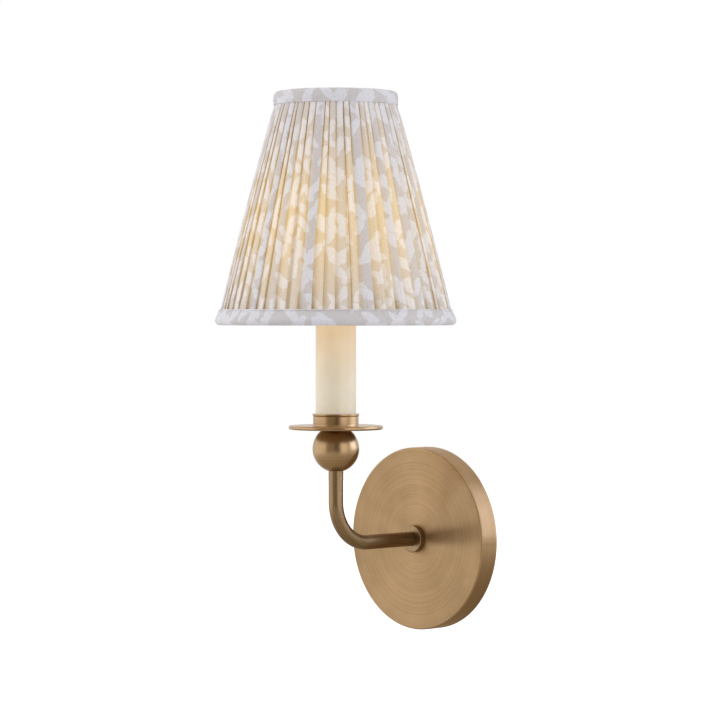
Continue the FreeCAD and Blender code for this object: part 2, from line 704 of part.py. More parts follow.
# Lampholder: moulded black body with a brass screw shell, a centre contact, a rivet and two terminals
HOLDER_RADIUS = "holder_diameter / 2"
SHELL_SEAT = f"({SHELL_OUTER} + thread_clearance)"
holder = turned("lampholder_body", [
    ("0", HOLDER_BASE),
    (HOLDER_RADIUS, HOLDER_BASE),
    (HOLDER_RADIUS, HOLDER_TOP),
    (SHELL_SEAT, HOLDER_TOP),
    (SHELL_SEAT, SHELL_BASE),
    ("0", SHELL_BASE),
])
RIVET_GRIP = "(leg_offset / 2)"
rivet_bore = sketch_on(holder, "YZ_Plane", "rivet_bore", f"-{RIVET_GRIP}")
circle(rivet_bore, "rivet_diameter / 2 + thread_clearance", "0", RIVET_HEIGHT)
rivet_cut = holder.newObject("PartDesign::Pocket", "rivet_bore_cut")
rivet_cut.Profile = rivet_bore
rivet_cut.Type = "ThroughAll"
holder.Tip = rivet_cut
terminal_bore = sketch_on(holder, "XZ_Plane", "terminal_bores")
circle(terminal_bore, "terminal_diameter / 2 + thread_clearance", "0", RIVET_HEIGHT)
pocket_through(holder, terminal_bore, "terminal_bores_cut")
on_candle_axis(holder)

on_candle_axis(turned("lampholder_shell", [
    (SHELL_OUTER, SHELL_BASE),
    (SHELL_OUTER, HOLDER_TOP),
    (SHELL_BORE, HOLDER_TOP),
    (SHELL_BORE, f"{SHELL_BASE} + shell_wall"),
    ("contact_diameter / 2 + contact_hole_margin", f"{SHELL_BASE} + shell_wall"),
    ("contact_diameter / 2 + contact_hole_margin", SHELL_BASE),
]))
on_candle_axis(turned("lampholder_contact", [
    ("0", SHELL_BASE),
    ("contact_diameter / 2", SHELL_BASE),
    ("contact_diameter / 2", f"{SHELL_BASE} + contact_height / 2"),
    ("contact_diameter / 4", CONTACT_TOP),
    ("0", CONTACT_TOP),
]))


def pin_with_head(name, inner, seat, radius, head_radius, head_height, direction, kind="part"):
    """A headed pin, from inner to seat along local Z with its head beyond, turned to lie sideways."""
    body = turned(name, [
        (radius, inner), (radius, seat), (head_radius, seat),
        (head_radius, f"{seat} + {head_height}"), ("0", f"{seat} + {head_height}"), ("0", inner),
    ], kind)
    body.Placement = Placement(candle_axis(), Rotation(Vector(0, 0, 1), direction))
    bind(body, "Placement.Base.y", "-arm_reach")
    bind(body, "Placement.Base.z", RIVET_HEIGHT)
    return body


pin_with_head(
    "lampholder_rivet", RIVET_GRIP, LEG_OUTSIDE, "rivet_diameter / 2", "rivet_head / 2",
    "rivet_head_height", Vector(-1, 0, 0),
)
terminals = [
    pin_with_head(
        f"terminal_{side}", "terminal_diameter", HOLDER_RADIUS, "terminal_diameter / 2",
        "terminal_head / 2", "terminal_head_height", direction, "tool",
    )
    for side, direction in (("front", Vector(0, -1, 0)), ("back", Vector(0, 1, 0)))
]
group("lampholder_terminals", terminals)

# Bulb: screw cap with rolled ridges, black insulator and solder tip
CAP_RADIUS = "cap_diameter / 2"
CAP_ROOT = f"({CAP_RADIUS} - cap_ridge_height)"
RIDGE_PITCH = "(cap_thread_length / cap_ridges)"
ridges = []
for ridge in range(int(value("cap_ridges"))):
    start = f"({CAP_BASE} + {ridge} * {RIDGE_PITCH})"
    ridges.append((CAP_ROOT, start))
    ridges.append((CAP_RADIUS, f"{start} + {RIDGE_PITCH} / 2"))
SKIRT_TOP = f"({SKIRT_BASE} + cap_skirt_height)"
SKIRT_BORE = "(glass_neck_diameter / 2 + thread_clearance)"
CAP_BORE = f"({CAP_ROOT} - cap_wall)"
cap = turned("bulb_cap", [
    *ridges,
    (CAP_ROOT, SKIRT_BASE),
    ("cap_skirt_diameter / 2", f"{SKIRT_BASE} + cap_skirt_height / 2"),
    ("cap_skirt_diameter / 2", SKIRT_TOP),
    (SKIRT_BORE, SKIRT_TOP),
    (SKIRT_BORE, GLASS_BASE),
    (CAP_BORE, GLASS_BASE),
    (CAP_BORE, CAP_BASE),
])
on_candle_axis(cap)
on_candle_axis(turned("bulb_insulator", [
    ("tip_contact_diameter / 2", INSULATOR_BASE),
    (CAP_ROOT, CAP_BASE),
    ("0", CAP_BASE),
    ("0", INSULATOR_BASE),
]))
on_candle_axis(turned("bulb_tip_contact", [
    ("tip_contact_diameter / 4", TIP_BASE),
    ("tip_contact_diameter / 2", f"{TIP_BASE} + tip_contact_height / 2"),
    ("tip_contact_diameter / 2", INSULATOR_BASE),
    ("0", INSULATOR_BASE),
    ("0", TIP_BASE),
]))

# Bulb glass: candle-shaped envelope, widest low down and drawn to a rounded tip, open at the neck
GLASS_RADIUS = "glass_diameter / 2"
NECK_RADIUS = "glass_neck_diameter / 2"
TIP_RADIUS = "glass_tip_diameter / 2"
INNER_TIP = f"({GLASS_TIP} - glass_wall)"
on_candle_axis(turned("bulb_glass", [
    (NECK_RADIUS, GLASS_BASE),
    (NECK_RADIUS, f"{GLASS_BASE} + glass_neck_height", "y", GLASS_WIDEST),
    (GLASS_RADIUS, GLASS_WIDEST, "y", GLASS_WIDEST),
    (TIP_RADIUS, f"{GLASS_TIP} - {TIP_RADIUS}", "x", "0"),
    ("0", GLASS_TIP),
    ("0", INNER_TIP, "x", "0"),
    (f"{TIP_RADIUS} - glass_wall", f"{INNER_TIP} - {TIP_RADIUS} + glass_wall", "y", GLASS_WIDEST),
    (f"{GLASS_RADIUS} - glass_wall", GLASS_WIDEST, "y", GLASS_WIDEST),
    (f"{NECK_RADIUS} - glass_wall", f"{GLASS_BASE} + glass_neck_height"),
    (f"{NECK_RADIUS} - glass_wall", GLASS_BASE),
]))
FLARE_TOP = f"({GLASS_BASE} + flare_height)"
on_candle_axis(turned("bulb_glass_stem", [
    ("0", GLASS_BASE),
    (f"{NECK_RADIUS} - glass_wall - thread_clearance", GLASS_BASE),
    ("flare_diameter / 2", f"{GLASS_BASE} + flare_height / 4"),
    ("flare_diameter / 4", f"{FLARE_TOP} - flare_height / 3"),
    ("flare_diameter / 4", FLARE_TOP),
    ("0", FLARE_TOP),
]))

# Filaments: coated rods standing in a circle between a lower and an upper wire star
HUB_THICKNESS = "(filament_diameter / 2)"
FILAMENT_BASE = f"({FLARE_TOP} + {HUB_THICKNESS})"
FILAMENT_TOP = f"({FILAMENT_BASE} + filament_length)"
rods = []
for index in range(int(value("filament_count"))):
    rod = doc.addObject("Part::Cylinder", f"filament_{index + 1}")
    bind(rod, "Radius", "filament_diameter / 2")
    bind(rod, "Height", "filament_length")
    angle = f"({index} + 0.5) * 360deg / filament_count"
    bind(rod, "Placement.Base.x", f"filament_circle / 2 * cos({angle})")
    bind(rod, "Placement.Base.y", f"filament_circle / 2 * sin({angle}) - arm_reach")
    bind(rod, "Placement.Base.z", FILAMENT_BASE)
    rods.append(rod)
group("bulb_filaments", rods)
STAR_RADIUS = "(filament_circle / 2 + filament_diameter / 2)"
stars = [
    turned(f"{place}_star", [
        ("0", base), (STAR_RADIUS, base), (STAR_RADIUS, f"{base} + {HUB_THICKNESS}"),
        ("0", f"{base} + {HUB_THICKNESS}"),
    ], "tool")
    for place, base in (("lower", FLARE_TOP), ("upper", FILAMENT_TOP))
]
for star in stars:
    on_candle_axis(star)
group("bulb_filament_holders", stars)


def bent_wire(points, bend_radius, wire_radius):
    """A round wire along straight runs joined by tangent arcs."""
    edges = []
    start = points[0]
    for before, corner, after in zip(points, points[1:], points[2:]):
        into = (corner - before).normalize()
        out = (after - corner).normalize()
        half_turn = into.getAngle(out) / 2
        setback = bend_radius * math.tan(half_turn)
        begin = corner - into * setback
        end = corner + out * setback
        towards = (out - into).normalize()
        middle = corner + towards * (bend_radius / math.cos(half_turn) - bend_radius)
        edges.append(Part.LineSegment(start, begin).toShape())
        edges.append(Part.Arc(begin, middle, end).toShape())
        start = end
    edges.append(Part.LineSegment(start, points[-1]).toShape())
    spine = Part.Wire(edges)
    direction = (points[1] - points[0]).normalize()
    section = Part.Wire([Part.Circle(points[0], direction, wire_radius).toShape()])
    solid = spine.makePipeShell([section], True, True)
    straight_volume = math.pi * wire_radius**2 * spine.Length
    if abs(solid.Volume / straight_volume - 1) > 0.02:
        raise ValueError(f"a bent wire holds {solid.Volume:.0f} of {straight_volume:.0f} cubic mm")
    return solid


# Bulb clip: a crossbar wire from one side of the top ring to the other, dropped in the middle,
# and two flat oval loops welded under it that press on either side of the bulb
bar_height = value(CLIP_BAR)
ring_height = value(TOP_RING_HEIGHT)
clip_wire = value("clip_wire")
clip_radius = clip_wire / 2
bar_end = value(f"{TOP_RING_RADIUS} - ring_wire / 2")
shoulder = bar_end - value("clip_shoulder")
clip_side = value(CLIP_SIDE)
crossbar = bent_wire([
    Vector(-bar_end, 0, ring_height), Vector(-shoulder, 0, ring_height),
    Vector(-clip_side - clip_wire, 0, bar_height), Vector(clip_side + clip_wire, 0, bar_height),
    Vector(shoulder, 0, ring_height), Vector(bar_end, 0, ring_height),
], value("clip_bend"), clip_radius)
shaped("clip_crossbar", crossbar, candle_axis())
loop_top = bar_height - clip_wire - value("thread_clearance")
loop_half = value("clip_width") / 2 - clip_radius
loop_low = loop_top - value("clip_drop") + clip_wire


def clip_loop(side):
    """An oval of wire in an upright plane beside the bulb."""
    x = side * clip_side
    high = loop_top - loop_half
    low = loop_low + loop_half
    quarter = loop_half * math.sqrt(0.5)
    edges = [
        Part.Arc(Vector(x, loop_half, high), Vector(x, quarter, high + quarter), Vector(x, 0, loop_top)),
        Part.Arc(Vector(x, 0, loop_top), Vector(x, -quarter, high + quarter), Vector(x, -loop_half, high)),
        Part.LineSegment(Vector(x, -loop_half, high), Vector(x, -loop_half, low)),
        Part.Arc(Vector(x, -loop_half, low), Vector(x, -quarter, low - quarter), Vector(x, 0, loop_low)),
        Part.Arc(Vector(x, 0, loop_low), Vector(x, quarter, low - quarter), Vector(x, loop_half, low)),
        Part.LineSegment(Vector(x, loop_half, low), Vector(x, loop_half, high)),
    ]
    spine = Part.Wire([edge.toShape() for edge in edges])
    start = Vector(x, loop_half, high)
    section = Part.Wire([Part.Circle(start, Vector(0, 0, 1), clip_radius).toShape()])
    return spine.makePipeShell([section], True, True)


shaped("clip_loop_left", clip_loop(-1), candle_axis())
shaped("clip_loop_right", clip_loop(1), candle_axis())

# Shade frame: two wire rings and the ribs welded inside them
for name, radius, height in (
    ("shade_top_ring", TOP_RING_RADIUS, TOP_RING_HEIGHT),
    ("shade_bottom_ring", BOTTOM_RING_RADIUS, BOTTOM_RING_HEIGHT),
):
    ring = part("Part::Torus", name)
    bind(ring, "Radius1", radius)
    bind(ring, "Radius2", "ring_wire / 2")
    bind(ring, "Placement.Base.y", "-arm_reach")
    bind(ring, "Placement.Base.z", height)

rib_top = value(f"{TOP_RING_HEIGHT} + ring_wire / 2 - cloth_gap")
rib_bend_height = value(RIB_BEND_HEIGHT)
rib_foot = value(RIB_FOOT)
rib_count = int(value("rib_count"))
rib_radius = value("rib_wire") / 2
for index in range(rib_count):
    angle = math.radians(360 * (index + 0.5) / rib_count)
    outward = Vector(math.cos(angle), math.sin(angle), 0)
    rib = bent_wire([
        outward * value(RIB_TOP_RADIUS) + Vector(0, 0, rib_top),
        outward * value(RIB_TOP_RADIUS) + Vector(0, 0, rib_bend_height),
        outward * value(RIB_BOTTOM_RADIUS) + Vector(0, 0, rib_foot),
    ], value("rib_bend"), rib_radius)
    shaped(f"shade_rib_{index + 1}", rib, candle_axis())

# Lining: thin cloth cone inside the ribs, from under the top ring to the bottom ring
on_candle_axis(turned("shade_lining", [
    (LINING_TOP_RADIUS, LINING_TOP),
    (f"{LINING_TOP_RADIUS} - lining_cloth", LINING_TOP),
    (f"{LINING_TOP_RADIUS} - lining_cloth", RIB_BEND_HEIGHT),
    (f"{LINING_BASE_RADIUS} - lining_cloth", LINING_BASE),
    (LINING_BASE_RADIUS, LINING_BASE),
    (LINING_TOP_RADIUS, RIB_BEND_HEIGHT),
]))


def pleat_angles(count, unevenness):
    """Where each pleat starts, in radians: an even count, pushed about by two slow waves."""
    step = 2 * math.pi / count
    return [
        step * (index + unevenness * (math.sin(2.4 * index) + 0.6 * math.sin(5.1 * index + 1)))
        for index in range(count)
    ]


def pleat_section(radius, height, depth):
    """One closed turn of knife pleats: each starts at the full radius and is tucked under the next."""
    angles = pleat_angles(int(value("pleat_count")), value("pleat_unevenness"))
    points = []
    for index, angle in enumerate(angles):
        following = angles[index + 1] if index + 1 < len(angles) else angles[0] + 2 * math.pi
        under = angle + (1 - value("pleat_tuck")) * (following - angle)
        points.append(Vector(radius * math.cos(angle), radius * math.sin(angle), height))
        inner = radius - depth
        points.append(Vector(inner * math.cos(under), inner * math.sin(under), height))
    return Part.makePolygon(points + [points[0]])


def pleated_cloth():
    """Knife-pleated cloth: folded turns at four heights joined by straight lines, one cloth thick."""
    top = value(PLEATS_TOP)
    edge = value(TOP_BAND_EDGE)
    base = value(PLEATS_BASE)
    top_radius = value("shade_top_diameter / 2 - pleats_inset_top")
    base_radius = value("shade_bottom_diameter / 2 - pleats_inset_bottom")
    waist = (edge + base) / 2
    waist_radius = (top_radius + base_radius) / 2 + value("pleats_belly")
    depth = value("pleat_depth")
    cloth = value("pleat_cloth")
    turns = ((top, top_radius), (edge, top_radius), (waist, waist_radius), (base, base_radius))
    outer = [pleat_section(radius, height, depth) for height, radius in turns]
    inner = [pleat_section(radius - cloth, height, depth) for height, radius in turns]
    faces = Part.makeLoft(outer, False, True).Faces + Part.makeLoft(inner, False, True).Faces
    for end in (0, -1):
        faces.append(Part.makeFace([outer[end], inner[end]], "Part::FaceMakerBullseye"))
    shell = Part.makeShell(faces)
    shell.sewShape()
    return Part.makeSolid(Part.Shell(shell.Faces))


shaped("pleated_cover", pleated_cloth(), candle_axis())

# Binding bands: folded cloth strips that wrap each ring and the ends of the pleats
top_band = turned("shade_top_band", [
    ("shade_top_diameter / 2", TOP_BAND_EDGE),
    ("shade_top_diameter / 2", SHADE_TOP),
    (f"{LINING_TOP_RADIUS} - lining_cloth - cloth_gap - band_cloth", SHADE_TOP),
    (f"{LINING_TOP_RADIUS} - lining_cloth - cloth_gap - band_cloth", f"{SHADE_TOP} - band_turn_in"),
    (f"{LINING_TOP_RADIUS} - lining_cloth - cloth_gap", f"{SHADE_TOP} - band_turn_in"),
    (f"{LINING_TOP_RADIUS} - lining_cloth - cloth_gap", f"{SHADE_TOP} - band_cloth"),
    ("shade_top_diameter / 2 - band_cloth", f"{SHADE_TOP} - band_cloth"),
    ("shade_top_diameter / 2 - band_cloth", TOP_BAND_EDGE),
])
round_rims(top_band, "top_band_roll", [("shade_top_diameter / 2", SHADE_TOP)], "band_cloth")
clip_slits = sketch_on(top_band, "YZ_Plane", "clip_slits")
circle(clip_slits, "clip_wire / 2 + cloth_gap", "0", TOP_RING_HEIGHT)
pocket_slits = top_band.newObject("PartDesign::Pocket", "clip_slits_cut")
pocket_slits.Profile = clip_slits
pocket_slits.Type = "Length"
pocket_slits.Midplane = True
bind(pocket_slits, "Length", f"2 * ({TOP_RING_RADIUS})")
top_band.Tip = pocket_slits
on_candle_axis(top_band)

BOTTOM_IN = f"({LINING_BASE_RADIUS} - lining_cloth - cloth_gap)"
bottom_band = turned("shade_bottom_band", [
    ("shade_bottom_diameter / 2 - bottom_band_flare", BOTTOM_BAND_EDGE),
    ("shade_bottom_diameter / 2 - bottom_band_flare - band_cloth", BOTTOM_BAND_EDGE),
    ("shade_bottom_diameter / 2 - band_cloth", BOTTOM_RING_HEIGHT),
    ("shade_bottom_diameter / 2 - band_cloth", f"{SHADE_BASE} + band_cloth"),
    (BOTTOM_IN, f"{SHADE_BASE} + band_cloth"),
    (BOTTOM_IN, f"{SHADE_BASE} + band_turn_in"),
    (f"{BOTTOM_IN} - band_cloth", f"{SHADE_BASE} + band_turn_in"),
    (f"{BOTTOM_IN} - band_cloth", SHADE_BASE),
    ("shade_bottom_diameter / 2", SHADE_BASE),
    ("shade_bottom_diameter / 2", BOTTOM_RING_HEIGHT),
])
round_rims(bottom_band, "bottom_band_roll", [("shade_bottom_diameter / 2", SHADE_BASE)], "band_cloth")
on_candle_axis(bottom_band)

LEAD_DEPTH = "((arm_tail_depth - bushing_flange + bar_thickness) / 2)"

# Leads: two insulated wires from the terminals down the stem, through the arm, to their connectors
lead_radius = value("lead_diameter") / 2
spread = value("lead_spread")
reach = value("arm_reach")
bend_radius = value("arm_bend_radius")
turn_radius = value("lead_turn")
connector_offset = value("connector_offset")
connector_length = value("connector_length")
lead_depth = value(LEAD_DEPTH)
terminal_level = value(RIVET_HEIGHT)
lead_top = terminal_level - value("terminal_head") / 2 - value("thread_clearance")
lead_lane = value(f"{HOLDER_RADIUS} + thread_clearance + lead_diameter / 2")


def lead(side):
    """One lead: side is 1 for the front terminal and +X connector, -1 for the other."""
    x = side * spread
    y = -reach - side * lead_lane
    return [
        Vector(0, y, lead_top),
        Vector(0, y, value(HOLDER_BASE) - turn_radius),
        Vector(x, -reach, value(STEM_TOP) + 3 * turn_radius),
        Vector(x, -reach, 0),
        Vector(x, -lead_depth, 0),
        Vector(side * connector_offset, -lead_depth, 0),
        Vector(side * connector_offset, -lead_depth, -connector_length / 2),
    ]


def run_of_lead(points, wire_radius):
    """A lead along straight runs joined by arcs, each as large as that corner allows."""
    edges = []
    start = points[0]
    for index in range(1, len(points) - 1):
        before, corner, after = points[index - 1], points[index], points[index + 1]
        into = (corner - before).normalize()
        out = (after - corner).normalize()
        half_turn = into.getAngle(out) / 2
        radius = bend_radius if abs(corner.y + reach) < 0.001 and corner.z == 0 else turn_radius
        setback = radius * math.tan(half_turn)
        begin = corner - into * setback
        end = corner + out * setback
        towards = (out - into).normalize()
        middle = corner + towards * (radius / math.cos(half_turn) - radius)
        edges.append(Part.LineSegment(start, begin).toShape())
        edges.append(Part.Arc(begin, middle, end).toShape())
        start = end
    edges.append(Part.LineSegment(start, points[-1]).toShape())
    spine = Part.Wire(edges)
    direction = (points[1] - points[0]).normalize()
    section = Part.Wire([Part.Circle(points[0], direction, wire_radius).toShape()])
    return spine.makePipeShell([section], True, True)


shaped("live_lead", run_of_lead(lead(1), lead_radius))
shaped("neutral_lead", run_of_lead(lead(-1), lead_radius))

# Wire connectors: one tapered cap on the end of each lead, lying in the wall plate
caps = []
for name, side in (("live_connector", 1), ("neutral_connector", -1)):
    wire_cap = turned(name, [
        ("lead_diameter / 2 + thread_clearance", "0"),
        ("connector_diameter / 2", "0"),
        ("connector_diameter * 0.36", "connector_length"),
        ("0", "connector_length"),
        ("0", "connector_length / 2"),
        ("lead_diameter / 2 + thread_clearance", "connector_length / 2"),
    ], "tool")
    wire_cap.Placement = Placement(Vector(), Rotation(Vector(1, 0, 0), 180))
    bind(wire_cap, "Placement.Base.x", "connector_offset" if side > 0 else "-connector_offset")
    bind(wire_cap, "Placement.Base.y", f"-{LEAD_DEPTH}")
    bind(wire_cap, "Placement.Base.z", "-lead_turn")
    caps.append(wire_cap)
group("wire_connectors", caps)

# Earth lead: from the head of the ground screw up to the lug under the arm nut
earth_radius = value("earth_lead_diameter") / 2
earth_depth = value("bar_thickness + ground_head_height + thread_clearance") + earth_radius
earth_rise = value("lug_diameter") / 2 - earth_radius - value("thread_clearance")
screw_level = value("ground_screw_offset")
shaped("earth_lead", bent_wire([
    Vector(0, -earth_depth, -screw_level - earth_radius),
    Vector(0, -earth_depth, -earth_rise),
    Vector(0, -value(f"{LUG_DEPTH} - thread_clearance"), -earth_rise),
], 3 * earth_radius, earth_radius))

# Build, test and write
os.makedirs("parts", exist_ok=True)
doc.recompute()
for thing in doc.Objects:
    if "Invalid" in thing.State or "Error" in thing.State:
        raise RuntimeError(f"{thing.Name}: {thing.State}")
for thing in nodes:
    shape = thing.Shape
    if shape.isNull() or not shape.isValid() or not shape.Solids:
        raise RuntimeError(f"{thing.Label}: no valid solid")
    shape.exportStep(f"parts/{thing.Label}.step")
print(len(nodes), "nodes")
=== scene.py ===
import math

import bpy
import numpy as np
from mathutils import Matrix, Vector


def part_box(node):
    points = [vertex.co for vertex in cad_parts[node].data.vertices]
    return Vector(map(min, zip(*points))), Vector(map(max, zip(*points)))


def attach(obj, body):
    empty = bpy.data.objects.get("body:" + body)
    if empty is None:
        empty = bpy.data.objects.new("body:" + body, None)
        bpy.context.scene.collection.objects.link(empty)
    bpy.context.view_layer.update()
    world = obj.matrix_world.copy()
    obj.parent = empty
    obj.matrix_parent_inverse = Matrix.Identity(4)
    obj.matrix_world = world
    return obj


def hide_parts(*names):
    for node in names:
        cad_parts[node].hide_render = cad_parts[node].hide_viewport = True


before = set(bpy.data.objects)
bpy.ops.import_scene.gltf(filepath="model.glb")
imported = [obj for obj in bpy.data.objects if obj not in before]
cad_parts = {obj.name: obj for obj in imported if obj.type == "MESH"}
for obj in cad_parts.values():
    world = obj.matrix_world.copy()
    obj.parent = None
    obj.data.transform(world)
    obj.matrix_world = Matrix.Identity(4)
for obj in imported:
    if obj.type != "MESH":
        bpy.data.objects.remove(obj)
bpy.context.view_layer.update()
MM = 0.001

# Camera: level, two metres from the light and turned 46 degrees from square on to the wall. The frame
# is shifted down, so the horizon lies a little above its middle.
FRAME_PIXELS = 720
FOCAL_PIXELS = 2900
HORIZON_ROW = 312
CAMERA_TURN = math.radians(45.78)
CAMERA_PLACE = (1.4232, -1.4541, 0.158)

lens = bpy.data.cameras.new("photographer")
lens.lens = FOCAL_PIXELS * lens.sensor_width / FRAME_PIXELS
lens.shift_y = (HORIZON_ROW - FRAME_PIXELS / 2) / FRAME_PIXELS
camera = bpy.data.objects.new("photographer", lens)
camera.location = CAMERA_PLACE
camera.rotation_euler = (math.radians(90), 0, CAMERA_TURN)
bpy.context.scene.collection.objects.link(camera)
bpy.context.scene.camera = camera


# Wall plate: spun brass with an aged satin finish. The buffing wheel left fine circles about
# the plate's axis, so a reflection spreads outward and the arm's is a long dark streak.
PLATE_BRASS = ("#a88a65", "#b89872")
PLATE_ROUGHNESS = 0.37
# The real lines are about 0.2 mm apart, too fine to show, so they are drawn 0.9 mm wide.
SPUN_LINE_MM = 0.9
LINE_RELIEF_MM = 0.012
PATINA_MM = 16
PATINA_ROUGHNESS = 0.03
# Noise lies mostly between these two values, which become the darkest tone and the palest.
NOISE_LOW, NOISE_HIGH = 0.3, 0.7
# A Mix node has sockets for each kind of value. These are the numbers of its colour ones.
A_COLOUR, B_COLOUR, BLENDED = 6, 7, 2


def linear(hex_colour):
    """The linear colour of an sRGB hex value, with full alpha."""
    parts = [int(hex_colour[i:i + 2], 16) / 255 for i in (1, 3, 5)]
    return tuple(p / 12.92 if p <= 0.04045 else ((p + 0.055) / 1.055) ** 2.4 for p in parts) + (1.0,)


def add(tree, kind, sockets=(), **settings):
    """A new node: settings are its own properties, sockets pair an input with a value or a linked output."""
    node = tree.nodes.new(kind)
    for name, setting in settings.items():
        setattr(node, name, setting)
    for socket, given in sockets:
        if isinstance(given, bpy.types.NodeSocket):
            tree.links.new(given, node.inputs[socket])
        else:
            node.inputs[socket].default_value = given
    return node


def finish_of(name, sockets):
    """A new material with one Principled shader, and that shader's tree."""
    material = bpy.data.materials.new(name)
    material.use_nodes = True
    tree = material.node_tree
    tree.nodes.clear()
    shader = add(tree, "ShaderNodeBsdfPrincipled", sockets)
    add(tree, "ShaderNodeOutputMaterial", [("Surface", shader.outputs[0])])
    return material, tree, shader


def dress(material, *names):
    """Give CAD nodes their finish."""
    for name in names:
        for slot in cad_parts[name].material_slots:
            slot.material = material


def aged_brass(name, colours, centre, axis, roughness, anisotropy):
    """Aged satin brass with fine lines about an axis.

    The lines are noise read from the distance to the axis and from the place along it. Coarser noise clouds
    the roughness, and highlights stretch across the lines.
    """
    material, tree, shader = finish_of(name, [
        ("Metallic", 1.0), ("Anisotropic", anisotropy), ("Anisotropic Rotation", 0.25)])
    place = add(tree, "ShaderNodeTexCoord").outputs["Object"]
    here = add(tree, "ShaderNodeVectorMath", [(0, place), (1, centre)], operation="SUBTRACT")
    apart = add(tree, "ShaderNodeSeparateXYZ", [("Vector", here.outputs[0])])
    sides = [apart.outputs[other] for other in "XYZ" if other != axis]
    flat = add(tree, "ShaderNodeCombineXYZ", [("X", sides[0]), ("Y", sides[1])])
    reach = add(tree, "ShaderNodeVectorMath", [(0, flat.outputs[0])], operation="LENGTH")
    lathe = add(tree, "ShaderNodeCombineXYZ", [("X", reach.outputs["Value"]), ("Y", apart.outputs[axis])])
    lines = add(tree, "ShaderNodeTexNoise", [
        ("Vector", lathe.outputs[0]), ("Scale", 1 / (SPUN_LINE_MM * MM)), ("Detail", 3.0),
        ("Roughness", 0.6)])
    tone = add(tree, "ShaderNodeMapRange", [
        ("Value", lines.outputs["Fac"]), ("From Min", NOISE_LOW), ("From Max", NOISE_HIGH)])
    colour = add(tree, "ShaderNodeMix", [
        ("Factor", tone.outputs[0]), (A_COLOUR, linear(colours[0])), (B_COLOUR, linear(colours[1]))],
        data_type="RGBA")
    tree.links.new(colour.outputs[BLENDED], shader.inputs["Base Color"])
    patina = add(tree, "ShaderNodeTexNoise", [
        ("Vector", place), ("Scale", 1 / (PATINA_MM * MM)), ("Detail", 3.0)])
    rough = add(tree, "ShaderNodeMapRange", [
        ("Value", patina.outputs["Fac"]), ("From Min", NOISE_LOW), ("From Max", NOISE_HIGH),
        ("To Min", roughness - PATINA_ROUGHNESS), ("To Max", roughness + PATINA_ROUGHNESS)])
    tree.links.new(rough.outputs[0], shader.inputs["Roughness"])
    relief = add(tree, "ShaderNodeBump", [
        ("Height", lines.outputs["Fac"]), ("Distance", LINE_RELIEF_MM * MM), ("Strength", 0.5)])
    tree.links.new(relief.outputs[0], shader.inputs["Normal"])
    around = add(tree, "ShaderNodeTangent", direction_type="RADIAL", axis=axis)
    tree.links.new(around.outputs[0], shader.inputs["Tangent"])
    return material


spun_brass = aged_brass(
    "aged_brass_spun_about_the_plate", PLATE_BRASS, centre=(0, 0, 0), axis="Y",
    roughness=PLATE_ROUGHNESS, anisotropy=1.0)
dress(spun_brass, "back_plate")


# Crossbar, lock washers, nuts and lampholder leg: pressed steel, zinc plated and passivated, so it is pale
# grey with a faint yellow bloom. The ground screw is dyed green and worn bright on its high spots.
CLOUD_LOW, CLOUD_HIGH = 0.35, 0.65


def clouded(name, colours, patch_mm, relief_mm, sockets):
    """A finish whose colour drifts between two close ones, in patches of a real size that stand proud."""
    material, tree, shader = finish_of(name, sockets)
    place = add(tree, "ShaderNodeTexCoord").outputs["Object"]
    patches = add(tree, "ShaderNodeTexNoise", [
        ("Vector", place), ("Scale", 1 / (patch_mm * MM)), ("Detail", 3.0)])
    share = add(tree, "ShaderNodeMapRange", [
        ("Value", patches.outputs["Fac"]), ("From Min", CLOUD_LOW), ("From Max", CLOUD_HIGH)])
    colour = add(tree, "ShaderNodeMix", [
        ("Factor", share.outputs[0]), (A_COLOUR, linear(colours[0])), (B_COLOUR, linear(colours[1]))],
        data_type="RGBA")
    tree.links.new(colour.outputs[BLENDED], shader.inputs["Base Color"])
    relief = add(tree, "ShaderNodeBump", [
        ("Height", patches.outputs["Fac"]), ("Distance", relief_mm * MM), ("Strength", 0.4)])
    tree.links.new(relief.outputs[0], shader.inputs["Normal"])
    return material


zinc = clouded(
    "zinc_plated_steel", ("#b9bab7", "#a9a894"), patch_mm=7, relief_mm=0.05,
    sockets=[("Metallic", 1.0), ("Roughness", 0.38)])
dress(
    zinc, "mounting_bar", "arm_lock_washer", "arm_lock_nut", "cup_lock_washer", "cup_lock_nut",
    "plate_grub_screws", "lampholder_leg", "lampholder_rivet", "lampholder_terminals", "ground_lug",
)
green = clouded(
    "green_dyed_steel", ("#1f6b33", "#3d7a48"), patch_mm=1.1, relief_mm=0.02,
    sockets=[("Metallic", 0.6), ("Roughness", 0.35)])
dress(green, "ground_screw")


# Arm and its collar: drawn brass tube, bent a quarter turn, and a turned ring, with the same aged finish
# rubbed by hand along their length. Their colours are darker and greyer than the plate's.
ARM_BRASS = ("#846c4d", "#9c8464")
ARM_ROUGHNESS = 0.34
# The real scratches are under 0.1 mm wide, too fine to show, so they are drawn 0.6 mm wide.
RUBBED_LINE_MM = 0.6
RUBBED_LENGTH_MM = 25
WORN_FROM, WORN_FULLY = 0.3, 0.65


